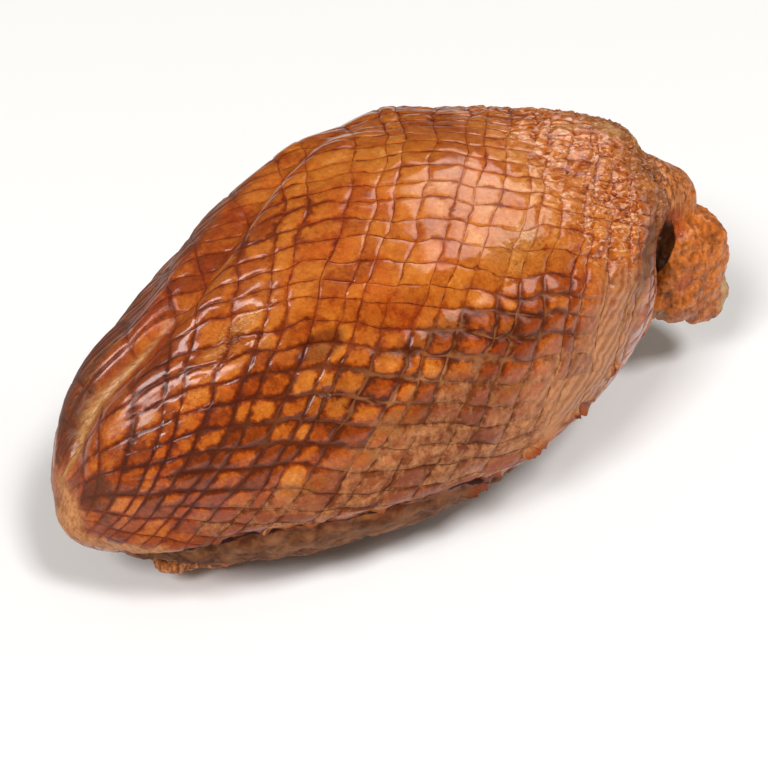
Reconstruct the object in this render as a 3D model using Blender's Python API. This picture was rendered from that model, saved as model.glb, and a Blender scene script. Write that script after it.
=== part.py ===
"""A whole smoked turkey breast, bone in, lying on its back with the keel up.

The tail end points along -X and the shoulder end along +X. The skin is one closed lattice whose
lines are the print that an elastic net left in it: hoops round the body and strands along it,
both drawn askew by the pull of the net, with a low pillow of skin in every mesh. The cut shoulder
joint stands out of the wide end as bare rough meat, and all of it is one solid.
"""

import math
import random
from typing import NamedTuple

import bmesh
import bpy
import numpy as np
from mathutils import Matrix, Vector, noise

# Driving dimensions, in metres. The stations along the body are angles: 0 at the tail, pi at the shoulder.
TAIL_X = -0.1365
SHOULDER_X = 0.137

# The net. Its hoops lie in threes, two wide gaps and a narrow one. A gap is given as a share of the usual one.
STRANDS = 54
HOOPS = 34
END_HOOPS_LEFT_OUT = 1
HOOP_GAPS = (1.20, 1.15, 0.65)
STRAND_GAPS = (1.0,)
GAP_SPREAD = 0.16
NET_TWIST = 2.40
NET_TWIST_SWING = 0.50
NET_TWIST_SIDE = math.radians(45)
HOOP_SLANT = 0.60
SLANT_ANGLE = math.radians(58)
STRAND_SEED = 5
HOOP_SEED = 11
PILLOW_HEIGHT = 0.0010

# The meat.
WAVE_DEPTH = 0.0006
MEAT_GRAIN = 0.011


class Profile(NamedTuple):
    """A size along the body: its value at mid length and how it falls with the first powers of the way along."""

    middle: float
    taper: float
    ends: float
    skew: float

    def at(self, station):
        """The size at a station angle."""
        c = np.cos(station)
        return self.middle - self.taper * c - self.ends * c**2 - self.skew * c**3


HALF_WIDTH = Profile(0.0793, 0.0156, 0.0134, -0.0090)
RISE = Profile(0.0756, 0.0031, 0.0155, 0.0051)
DROP = Profile(0.0706, 0.0085, 0.0129, -0.0039)
SIDE_SHIFT = Profile(-0.0028, 0.0133, 0.0079, -0.0170)
SPINE_HEIGHT = Profile(0.0685, 0.0098, -0.0024, 0.0123)


class Fold(NamedTuple):
    """A furrow along the body: the angle round the body that it follows, its depth, width and raised lips."""

    stations: tuple
    angles: tuple
    depth: float
    width: float
    lip: float


KEEL = Fold((20, 25, 32, 45, 54, 68, 80, 96), (97, 107, 108, 98, 95, 105, 114, 117), 0.0040, 0.0058, 0.0010)
NEAR_VALLEY = Fold((44, 57, 66, 77, 95, 111, 128), (90, 72, 55, 46, 42, 39, 30), 0.0022, 0.0070, 0.0008)
FAR_VALLEY = Fold((50, 70, 100, 130), (125, 142, 152, 160), 0.0018, 0.0085, 0.0006)
NEAR_SEAM = Fold((28, 39, 50, 62, 76, 88, 104), (-46, -27, -13, -14, -16, -20, -32), 0.0036, 0.0048, 0.0003)
FAR_SEAM = Fold((24, 50, 90, 140), (205, 194, 198, 206), 0.0030, 0.0060, 0.0006)
FOLDS = (KEEL, NEAR_VALLEY, FAR_VALLEY, NEAR_SEAM, FAR_SEAM)


class Swelling(NamedTuple):
    """A soft bulge of the body, centred at a station and an angle in degrees."""

    station: float
    angle: float
    height: float
    radius: float


SWELLINGS = (
    Swelling(47, 60, 0.0020, 0.024),
    Swelling(38, 147, 0.0048, 0.022),
    Swelling(13, -72, 0.0028, 0.012),
    Swelling(107, 123, 0.0045, 0.017),
    Swelling(143, 100, 0.0050, 0.024),
    Swelling(157, -10, -0.0060, 0.018),
    Swelling(146, 8, -0.0040, 0.016),
)


class Blob(NamedTuple):
    """A squarish ball of meat: its centre, its half sizes, its lean about Y in degrees and how square it is."""

    centre: tuple
    half_size: tuple
    lean: float
    squareness: float


class Meat(NamedTuple):
    """A piece of rough meat that the skin doesn't cover: blobs that run together round a hub."""

    hub: tuple
    blobs: tuple
    blend: float
    roughness: float
    detail: int


SHOULDER_JOINT = Meat(
    hub=(0.1410, -0.0250, 0.0660),
    blobs=(
        Blob((0.1430, -0.0260, 0.0620), (0.0185, 0.0150, 0.0240), -4, 3.2),
        Blob((0.1535, -0.0260, 0.0415), (0.0110, 0.0120, 0.0110), 12, 2.8),
        Blob((0.1345, -0.0150, 0.0955), (0.0180, 0.0150, 0.0125), 38, 2.4),
        Blob((0.1260, -0.0180, 0.0740), (0.0150, 0.0120, 0.0140), 0, 2.2),
        Blob((0.1220, -0.0260, 0.0500), (0.0200, 0.0100, 0.0065), 8, 2.2),
    ),
    blend=0.0016,
    roughness=0.0022,
    detail=4,
)
SHOULDER_FOLD = Meat(
    hub=(0.1050, -0.0290, 0.0460),
    blobs=(Blob((0.1050, -0.0290, 0.0460), (0.0200, 0.0140, 0.0090), -30, 2.2),),
    blend=0.001,
    roughness=0.0008,
    detail=3,
)
BELLY_SCRAP = Meat(
    hub=(-0.0880, -0.0220, 0.0155),
    blobs=(
        Blob((-0.0960, -0.0190, 0.0155), (0.0120, 0.0100, 0.0055), 4, 2.4),
        Blob((-0.0780, -0.0250, 0.0145), (0.0120, 0.0090, 0.0060), 0, 2.4),
    ),
    blend=0.001,
    roughness=0.0016,
    detail=3,
)
MEATS = (SHOULDER_JOINT, SHOULDER_FOLD, BELLY_SCRAP)


def blob_distance(blob, points):
    """Roughly how far points lie outside a blob, in metres."""
    lean = np.radians(blob.lean)
    x, y, z = np.moveaxis(points - np.array(blob.centre), -1, 0)
    local = np.stack([x * np.cos(lean) - z * np.sin(lean), y, x * np.sin(lean) + z * np.cos(lean)], -1)
    size = np.array(blob.half_size)
    reach = (np.abs(local / size) ** blob.squareness).sum(-1) ** (1 / blob.squareness)
    return (reach - 1) * size.min()


def meat_reach(meat, ways):
    """How far from its hub a piece of meat reaches each way."""
    radii = np.linspace(0.002, 0.05, 97)
    points = np.array(meat.hub) + ways[:, None, :] * radii[:, None]
    gaps = sum(np.exp(-blob_distance(blob, points) / meat.blend) for blob in meat.blobs)
    inside = gaps > 1
    last = radii.size - 1 - inside[:, ::-1].argmax(1)
    rows = np.arange(len(ways))
    here, there = np.log(gaps[rows, last]), np.log(gaps[rows, np.minimum(last + 1, radii.size - 1)])
    return radii[last] + (radii[1] - radii[0]) * here / (here - there)


def skin_base(station, angle):
    """The smooth body. The angle is 0 on the near side (-Y), 90 degrees at the keel."""
    reach = np.sin(station)
    up = np.sin(angle)
    half_height = np.where(up > 0, RISE.at(station), DROP.at(station))
    x = (TAIL_X + SHOULDER_X) / 2 - (SHOULDER_X - TAIL_X) / 2 * np.cos(station)
    y = SIDE_SHIFT.at(station) - HALF_WIDTH.at(station) * reach * np.cos(angle)
    z = SPINE_HEIGHT.at(station) + half_height * reach * up
    return np.stack(np.broadcast_arrays(x, y, z), -1)


def outward(station, angle):
    """The smooth body's outward normal."""
    step = 1e-4
    along = skin_base(station + step, angle) - skin_base(station - step, angle)
    around = skin_base(station, angle + step) - skin_base(station, angle - step)
    normal = np.cross(along, around)
    return normal / np.linalg.norm(normal, axis=-1, keepdims=True)


def turned(angle):
    """An angle brought between minus half a turn and half a turn."""
    return (angle + np.pi) % (2 * np.pi) - np.pi


def fold_height(fold, station, angle):
    """How far a fold lowers the skin, or lifts it at the lips."""
    stations = np.radians(fold.stations)
    path = np.interp(station, stations, np.radians(fold.angles))
    aside = turned(angle - path) * np.sin(station) * HALF_WIDTH.at(station) / fold.width
    fade = np.radians(3)
    window = 1 / (1 + np.exp((stations[0] - station) / fade)) / (1 + np.exp((station - stations[-1]) / fade))
    return window * (fold.lip * np.exp(-((np.abs(aside) - 2.2) ** 2)) - fold.depth * np.exp(-(aside**2)))


def swelling_height(swelling, station, angle):
    """How far a soft bulge lifts the skin."""
    centre = skin_base(np.radians(swelling.station), np.radians(swelling.angle))
    gap = np.linalg.norm(skin_base(station, angle) - centre, axis=-1)
    return swelling.height * np.exp(-((gap / swelling.radius) ** 2))


def waves(station, angle):
    """The slow unevenness of the meat under the skin, as a share of its depth."""
    return (
        np.sin(3.1 * station + 2 * angle + 0.4)
        + 0.8 * np.sin(5.3 * station - 3 * angle + 1.9)
        + 0.6 * np.sin(8.7 * station + 5 * angle + 4.1)
        + 0.5 * np.sin(11.9 * station - 7 * angle + 2.6)
    )


def skin_point(station, angle, lift):
    """A point of the skin, lift above the body that its folds and bulges shape, and never below the table."""
    height = lift + WAVE_DEPTH * waves(station, angle) * np.sin(station)
    for fold in FOLDS:
        height = height + fold_height(fold, station, angle)
    for swelling in SWELLINGS:
        height = height + swelling_height(swelling, station, angle)
    point = skin_base(station, angle) + outward(station, angle) * height[..., None]
    point[..., 2] = np.maximum(point[..., 2], 0)
    return point


def uneven_steps(count, pattern, seed):
    """The places of count + 1 net lines from 0 to 1, unevenly spaced as a stretched net's are."""
    draw = random.Random(seed)
    gaps = [pattern[k % len(pattern)] + draw.uniform(-GAP_SPREAD, GAP_SPREAD) for k in range(count)]
    return np.concatenate([[0], np.cumsum(gaps)]) / sum(gaps)


def crossing(hoop, strand):
    """The station and angle where a hoop and a strand of the net cross, each given from 0 to 1."""
    straight = math.pi * hoop
    level = 2 * math.pi * strand
    twist = NET_TWIST + NET_TWIST_SWING * np.cos(level - NET_TWIST_SIDE)
    station = straight + 0 * strand
    for _ in range(40):
        angle = level - twist * (station / math.pi - 0.5)
        station = straight + HOOP_SLANT * np.sin(straight) * np.sin(angle - SLANT_ANGLE)
    sway = 0.010 * np.sin(4 * level + 1.3) + 0.006 * np.sin(9 * level + 7 * straight + 0.5)
    swing = 0.018 * np.sin(6 * straight + 0.7) + 0.010 * np.sin(13 * straight + 3 * level + 2.2)
    return station + sway * np.sin(straight), angle + swing


def pillow(station, angle):
    """How high the skin stands in a mesh of the net: fuller low on the near side, flat on the smooth top."""
    fuller = np.exp(-(((np.degrees(turned(angle)) - 28) / 22) ** 2))
    flatter = np.exp(-(((np.degrees(turned(angle)) - 85) / 30) ** 2))
    bare = 1 / (1 + np.exp((station - np.radians(152)) / np.radians(4)))
    return PILLOW_HEIGHT * (1 + 0.6 * fuller - 0.35 * flatter) * np.sin(station) ** 1.3 * bare


def make_skin():
    """The netted skin as a closed mesh: four facets to each mesh of the net, meeting at its pillow's top."""
    hoops = uneven_steps(HOOPS, HOOP_GAPS, HOOP_SEED)[END_HOOPS_LEFT_OUT : HOOPS - END_HOOPS_LEFT_OUT + 1]
    strands = uneven_steps(STRANDS, STRAND_GAPS, STRAND_SEED)[:STRANDS]
    hoop_grid, strand_grid = np.meshgrid(hoops, strands, indexing="ij")
    corners = skin_point(*crossing(hoop_grid, strand_grid), np.zeros(hoop_grid.shape))
    next_strand = np.append(strands[1:], 1.0)
    hoop_grid, strand_grid = np.meshgrid((hoops[1:] + hoops[:-1]) / 2, (strands + next_strand) / 2, indexing="ij")
    station, angle = crossing(hoop_grid, strand_grid)
    tops = skin_point(station, angle, pillow(station, angle))

    mesh = bmesh.new()
    corner = [[mesh.verts.new(p) for p in row] for row in corners]
    top = [[mesh.verts.new(p) for p in row] for row in tops]
    for i in range(len(corner) - 1):
        for j in range(STRANDS):
            right = (j + 1) % STRANDS
            ring = (corner[i][j], corner[i][right], corner[i + 1][right], corner[i + 1][j])
            for k in range(4):
                mesh.faces.new((ring[k], ring[(k + 1) % 4], top[i][j]))
    for row, pole in ((corner[0], 0.001), (corner[-1], math.pi - 0.001)):
        tip = mesh.verts.new(skin_point(np.array([pole]), np.zeros(1), np.zeros(1))[0])
        for j in range(STRANDS):
            mesh.faces.new((row[j], row[(j + 1) % STRANDS], tip))
    bmesh.ops.recalc_face_normals(mesh, faces=mesh.faces)
    return mesh


def finished(mesh, name, material):
    """A mesh made an object of that name, with a material, in the scene."""
    data = bpy.data.meshes.new(name)
    mesh.to_mesh(data)
    mesh.free()
    data.materials.append(material)
    body = bpy.data.objects.new(name, data)
    bpy.context.scene.collection.objects.link(body)
    return body


def make_meat(meat, seed):
    """A piece of meat as a closed mesh with a coarse rough face."""
    mesh = bmesh.new()
    bmesh.ops.create_icosphere(mesh, subdivisions=meat.detail, radius=1)
    ways = np.array([v.co.normalized() for v in mesh.verts])
    shift = Vector((7.3, 3.1, 5.7)) * seed
    for vertex, way, reach in zip(mesh.verts, ways, meat_reach(meat, ways)):
        place = Vector(meat.hub) + Vector(way * reach)
        rough = noise.fractal(place / MEAT_GRAIN + shift, 0.9, 2.1, 3)
        vertex.co = place + Vector(way) * meat.roughness * rough
    return mesh


def joined(body, pieces):
    """The skin and the pieces of meat as one solid."""
    parts = bpy.data.collections.new("meat")
    bpy.context.scene.collection.children.link(parts)
    for piece in pieces:
        bpy.context.scene.collection.objects.unlink(piece)
        parts.objects.link(piece)
    union = body.modifiers.new("meat", "BOOLEAN")
    union.operation = "UNION"
    union.solver = "EXACT"
    union.operand_type = "COLLECTION"
    union.collection = parts
    bpy.context.view_layer.update()
    whole = bpy.data.meshes.new_from_object(body.evaluated_get(bpy.context.evaluated_depsgraph_get()))
    body.modifiers.clear()
    body.data = whole
    for piece in pieces:
        bpy.data.objects.remove(piece)
    bpy.data.collections.remove(parts)


def set_on_origin(body):
    """Moves the solid so that the middle of its footprint is the origin."""
    corners = np.array([v.co for v in body.data.vertices])
    middle = (corners.min(0) + corners.max(0)) / 2
    body.data.transform(Matrix.Translation((-middle[0], -middle[1], -corners[:, 2].min())))


def paint(name, colour, roughness):
    """A plain material in a colour."""
    material = bpy.data.materials.new(name)
    material.use_nodes = True
    shader = material.node_tree.nodes["Principled BSDF"]
    shader.inputs["Base Color"].default_value = (*colour, 1)
    shader.inputs["Roughness"].default_value = roughness
    shader.inputs["Metallic"].default_value = 0
    return material


def main():
    """Clears the scene and builds the breast."""
    for old in list(bpy.data.objects):
        bpy.data.objects.remove(old)
    smoked_skin = paint("smoked_skin", (0.42, 0.14, 0.03), 0.35)
    body = finished(make_skin(), "smoked_turkey_breast", smoked_skin)
    joined(body, [finished(make_meat(meat, seed), f"meat_{seed}", smoked_skin) for seed, meat in enumerate(MEATS)])
    set_on_origin(body)
    body.data.shade_smooth()


main()
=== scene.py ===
"""Dresses a whole smoked turkey breast: its netted skin, its bare cut joint and the light it is shown in.

The breast lies on its back with the keel up, the tail end at -X and the shoulder end at +X. A place on the
skin is given by a station, an angle that runs from 0 at the tail to half a turn at the shoulder, and by an
angle round the body that is 0 on the near side and a quarter turn at the keel.
"""

import logging
import math
import random
from dataclasses import dataclass
from enum import Enum

import bmesh
import bpy
import numpy as np
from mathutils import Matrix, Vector, noise


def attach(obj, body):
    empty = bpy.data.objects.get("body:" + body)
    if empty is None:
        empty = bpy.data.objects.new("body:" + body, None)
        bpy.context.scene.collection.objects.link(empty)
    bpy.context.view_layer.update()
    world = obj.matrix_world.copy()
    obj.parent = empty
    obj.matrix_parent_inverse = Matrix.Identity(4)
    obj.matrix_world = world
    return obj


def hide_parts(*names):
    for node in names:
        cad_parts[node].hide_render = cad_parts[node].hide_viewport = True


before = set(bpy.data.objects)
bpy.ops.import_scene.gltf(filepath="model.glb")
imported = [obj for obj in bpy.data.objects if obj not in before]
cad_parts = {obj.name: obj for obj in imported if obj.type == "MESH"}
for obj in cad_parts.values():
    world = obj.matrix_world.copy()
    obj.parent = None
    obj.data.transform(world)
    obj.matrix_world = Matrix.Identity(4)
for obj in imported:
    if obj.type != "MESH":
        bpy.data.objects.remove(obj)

LOG = logging.getLogger("smoked_turkey_breast")
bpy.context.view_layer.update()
Array = np.ndarray
Colour = tuple[float, float, float]
Node = bpy.types.Node
Object = bpy.types.Object
Material = bpy.types.Material
Tree = bpy.types.NodeTree
Socket = bpy.types.NodeSocket
Shares = tuple[tuple[str, float], ...]

# From the body's own axes to the middle of the footprint.
FOOTPRINT_SHIFT = np.array((-0.013854, 0.001651, 0.0))


# ------------------------------------- The body under the net -------------------------------------


@dataclass(frozen=True)
class Profile:
    """A size along the body: its value at mid length and how it falls with the powers of the way along."""

    middle: float
    taper: float
    ends: float
    skew: float

    def at(self, station: Array) -> Array:
        """The size at a station angle."""
        c = np.cos(station)
        return self.middle - self.taper * c - self.ends * c**2 - self.skew * c**3


@dataclass(frozen=True)
class Fold:
    """A furrow along the body: the angle round the body that it follows, its depth, width and raised lips."""

    stations: tuple[float, ...]
    angles: tuple[float, ...]
    depth: float
    width: float
    lip: float

    def path(self, station: Array) -> Array:
        """The furrow's angle round the body at a station, in radians."""
        return np.interp(station, np.radians(self.stations), np.radians(self.angles))

    def aside(self, station: Array, angle: Array, half_width: Array) -> Array:
        """How far a place lies from the furrow's line, in metres, with its sign."""
        return turned(angle - self.path(station)) * np.sin(station) * half_width

    def window(self, station: Array) -> Array:
        """How much of the furrow there is at a station, from 0 to 1."""
        first, last = np.radians(self.stations[0]), np.radians(self.stations[-1])
        fade = np.radians(3)
        return 1 / (1 + np.exp((first - station) / fade)) / (1 + np.exp((station - last) / fade))

    def height(self, station: Array, angle: Array, half_width: Array) -> Array:
        """How far the furrow lowers the skin, or lifts it at the lips."""
        aside = self.aside(station, angle, half_width) / self.width
        shape = self.lip * np.exp(-((np.abs(aside) - 2.2) ** 2)) - self.depth * np.exp(-(aside**2))
        return self.window(station) * shape


@dataclass(frozen=True)
class Swelling:
    """A soft bulge of the body, centred at a station and an angle in degrees."""

    station: float
    angle: float
    height: float
    radius: float


@dataclass(frozen=True)
class Patch:
    """A soft-edged area of the skin, centred at a station and an angle, in degrees."""

    station: float
    angle: float
    along: float
    around: float
    strength: float = 1.0
    lean: float = 0.0

    def mask(self, station: Array, angle: Array) -> Array:
        """How much of the patch there is at each place, from 0 to 1.

        Args:
            station: station angles, in radians.
            angle: angles round the body, in radians.

        Returns:
            The patch's strength there.
        """
        ahead = np.degrees(station) - self.station
        up = np.degrees(turned(angle - np.radians(self.angle)))
        lean = np.radians(self.lean)
        one = (ahead * np.cos(lean) + up * np.sin(lean)) / self.along
        two = (up * np.cos(lean) - ahead * np.sin(lean)) / self.around
        return self.strength * np.exp(-((one**2 + two**2) ** 1.5))


def turned(angle: Array) -> Array:
    """An angle brought between minus half a turn and half a turn."""
    return (angle + np.pi) % (2 * np.pi) - np.pi


def wobble(place: Array, wavelength: float, seed: int) -> Array:
    """A smooth random value for each place, about as often above 0 as below it.

    Args:
        place: points, in metres.
        wavelength: the size of its waves, in metres.
        seed: the random seed.

    Returns:
        Values that are mostly between -2 and 2.
    """
    draw = np.random.default_rng(seed)
    ways = draw.normal(size=(14, 3))
    ways = ways / np.linalg.norm(ways, axis=1, keepdims=True) * draw.uniform(0.6, 1.5, (14, 1))
    phase = place @ (2 * np.pi / wavelength * ways).T + draw.uniform(0, 2 * np.pi, 14)
    return np.sin(phase).sum(-1) / math.sqrt(7)


def ease(value: Array, low: float, high: float) -> Array:
    """A smooth step from 0 at low to 1 at high."""
    share = np.clip((value - low) / (high - low), 0, 1)
    return share * share * (3 - 2 * share)


def past(station: Array, first: float, last: float) -> Array:
    """A smooth step from 0 to 1 between two stations, which are given in degrees."""
    return ease(station, math.radians(first), math.radians(last))


KEEL = Fold((20, 25, 32, 45, 54, 68, 80, 96), (97, 107, 108, 98, 95, 105, 114, 117), 0.0040, 0.0058, 0.0010)
NEAR_VALLEY = Fold((44, 57, 66, 77, 95, 111, 128), (90, 72, 55, 46, 42, 39, 30), 0.0022, 0.0070, 0.0008)
FAR_VALLEY = Fold((50, 70, 100, 130), (125, 142, 152, 160), 0.0018, 0.0085, 0.0006)
NEAR_SEAM = Fold((28, 39, 50, 62, 76, 88, 104), (-46, -27, -13, -14, -16, -20, -32), 0.0036, 0.0048, 0.0003)
FAR_SEAM = Fold((24, 50, 90, 140), (205, 194, 198, 206), 0.0030, 0.0060, 0.0006)


@dataclass(frozen=True)
class BreastForm:
    """The smooth body, with its folds, bulges and slow waves."""

    tail_x: float = -0.1365
    shoulder_x: float = 0.137
    half_width: Profile = Profile(0.0793, 0.0156, 0.0134, -0.0090)
    rise: Profile = Profile(0.0756, 0.0031, 0.0155, 0.0051)
    drop: Profile = Profile(0.0706, 0.0085, 0.0129, -0.0039)
    side_shift: Profile = Profile(-0.0028, 0.0133, 0.0079, -0.0170)
    spine_height: Profile = Profile(0.0685, 0.0098, -0.0024, 0.0123)
    wave_depth: float = 0.0006
    far_side: float = 0.0760
    far_squeeze: float = 0.85
    folds: tuple[Fold, ...] = (KEEL, NEAR_VALLEY, FAR_VALLEY, NEAR_SEAM, FAR_SEAM)
    swellings: tuple[Swelling, ...] = (
        Swelling(47, 60, 0.0020, 0.024),
        Swelling(38, 147, 0.0048, 0.022),
        Swelling(13, -72, 0.0028, 0.012),
        Swelling(107, 123, 0.0045, 0.017),
        Swelling(143, 100, 0.0050, 0.024),
        Swelling(90, 119, 0.0042, 0.019),
        Swelling(147, 86, 0.0042, 0.009),
        Swelling(157, -10, -0.0060, 0.018),
        Swelling(146, 8, -0.0040, 0.016),
    )

    def base(self, station: Array, angle: Array) -> Array:
        """Points of the body without its folds and bulges, on the body's own axes."""
        reach = np.sin(station)
        up = np.sin(angle)
        half_height = np.where(up > 0, self.rise.at(station), self.drop.at(station))
        half_length = (self.shoulder_x - self.tail_x) / 2
        x = (self.tail_x + self.shoulder_x) / 2 - half_length * np.cos(station)
        y = self.side_shift.at(station) - self.half_width.at(station) * reach * np.cos(angle)
        z = self.spine_height.at(station) + half_height * reach * up
        return np.stack(np.broadcast_arrays(x, y, z), -1)

    def outward(self, station: Array, angle: Array) -> Array:
        """The body's outward normals."""
        step = 1e-4
        along = self.base(station + step, angle) - self.base(station - step, angle)
        around = self.base(station, angle + step) - self.base(station, angle - step)
        normal = np.cross(along, around)
        return normal / np.linalg.norm(normal, axis=-1, keepdims=True)

    def waves(self, station: Array, angle: Array) -> Array:
        """The slow unevenness of the meat under the skin, as a share of its depth."""
        return (
            np.sin(3.1 * station + 2 * angle + 0.4)
            + 0.8 * np.sin(5.3 * station - 3 * angle + 1.9)
            + 0.6 * np.sin(8.7 * station + 5 * angle + 4.1)
            + 0.5 * np.sin(11.9 * station - 7 * angle + 2.6)
        )

    def skin(self, station: Array, angle: Array, lift: Array) -> Array:
        """Points of the skin in the part's frame, never below the table.

        Args:
            station: station angles, in radians.
            angle: angles round the body, in radians.
            lift: how far the skin stands above the body, in metres.

        Returns:
            The points, in metres.
        """
        height = lift + self.wave_depth * self.waves(station, angle) * np.sin(station)
        half_width = self.half_width.at(station)
        for fold in self.folds:
            height = height + fold.height(station, angle, half_width)
        for swelling in self.swellings:
            centre = self.base(np.radians(swelling.station), np.radians(swelling.angle))
            gap = np.linalg.norm(self.base(station, angle) - centre, axis=-1)
            height = height + swelling.height * np.exp(-((gap / swelling.radius) ** 2))
        point = self.base(station, angle) + self.outward(station, angle) * height[..., None]
        point[..., 2] = np.maximum(point[..., 2], 0)
        past_side = point[..., 1] - self.far_side
        point[..., 1] = np.minimum(point[..., 1], self.far_side + self.far_squeeze * past_side)
        return point + FOOTPRINT_SHIFT


@dataclass(frozen=True)
class Net:
    """The elastic net whose print the skin keeps: hoops round the body and strands along it."""

    strands: int = 54
    hoops: int = 31
    ends_left_out: int = 1
    tail_widening: float = 0.38
    tail_hoops: float = 9.0
    lobe_spread: float = 0.30
    lobe_side: float = math.radians(8)
    lobe_station: float = math.radians(38)
    lobe_reach: float = math.radians(30)
    hoop_gaps: tuple[float, ...] = (1.20, 1.15, 0.65)
    gap_spread: float = 0.16
    twist: float = 2.40
    twist_swing: float = 0.50
    twist_side: float = math.radians(45)
    slant: float = 0.60
    slant_angle: float = math.radians(58)
    strand_seed: int = 5
    hoop_seed: int = 11

    def steps(self, count: int, pattern: tuple[float, ...], seed: int) -> Array:
        """The places of count + 1 net lines from 0 to 1, unevenly spaced as a stretched net's are."""
        draw = random.Random(seed)
        spread = self.gap_spread
        gaps = [pattern[k % len(pattern)] + draw.uniform(-spread, spread) for k in range(count)]
        return np.concatenate([[0], np.cumsum(gaps)]) / sum(gaps)

    def hoop_lines(self) -> Array:
        """Where the hoops lie, from 0 at the tail to 1 at the shoulder."""
        gaps = np.diff(self.steps(self.hoops, self.hoop_gaps, self.hoop_seed))
        gaps = gaps * (1 + self.tail_widening * np.exp(-((np.arange(self.hoops) / self.tail_hoops) ** 2)))
        every = np.concatenate([[0], np.cumsum(gaps)]) / gaps.sum()
        return every[self.ends_left_out : self.hoops - self.ends_left_out + 1]

    def strand_lines(self) -> Array:
        """Where the strands lie, from 0 to 1 round the body, with the first again at the end."""
        return self.steps(self.strands, (1.0,), self.strand_seed)

    def crossing(self, hoop: Array, strand: Array) -> tuple[Array, Array]:
        """The station and angle of a place on the net.

        Args:
            hoop: the place along the body, from 0 to 1.
            strand: the place round the body, from 0 to 1.

        Returns:
            The station and the angle, in radians.
        """
        straight = math.pi * hoop
        level = 2 * math.pi * strand
        twist = self.twist + self.twist_swing * np.cos(level - self.twist_side)
        station = straight + 0 * strand
        for _ in range(40):
            near_lobe = np.exp(-(((station - self.lobe_station) / self.lobe_reach) ** 2))
            spread = self.lobe_spread * near_lobe * np.sin(level - self.lobe_side)
            angle = level - twist * (station / math.pi - 0.5) + spread
            station = straight + self.slant * np.sin(straight) * np.sin(angle - self.slant_angle)
        sway = 0.010 * np.sin(4 * level + 1.3) + 0.006 * np.sin(9 * level + 7 * straight + 0.5)
        swing = 0.018 * np.sin(6 * straight + 0.7) + 0.010 * np.sin(13 * straight + 3 * level + 2.2)
        return station + sway * np.sin(straight), angle + swing


class Zone(Enum):
    """The areas of the skin that look different. Each one's name is the name of its mask on the mesh."""

    GOLD_AND_HIGHLIGHT = "gold"
    DEEP = "deep"
    PALE = "pale"
    FLESHY = "fleshy"
    CRUMPLED = "crumpled"
    WRINKLED = "wrinkled"
    CRAGGY = "craggy"
    KEEL_FAT = "keel_fat"
    FILM_AND_SHADE = "film"
    DARKENED = "scorched"
    TAIL = "tail"
    KERNELS = "kernels"
    RIDGED = "ridged"
    BARE = "bare"
    SEAM = "seam"
    RAGGED = "ragged"
    SOFT = "soft"


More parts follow.
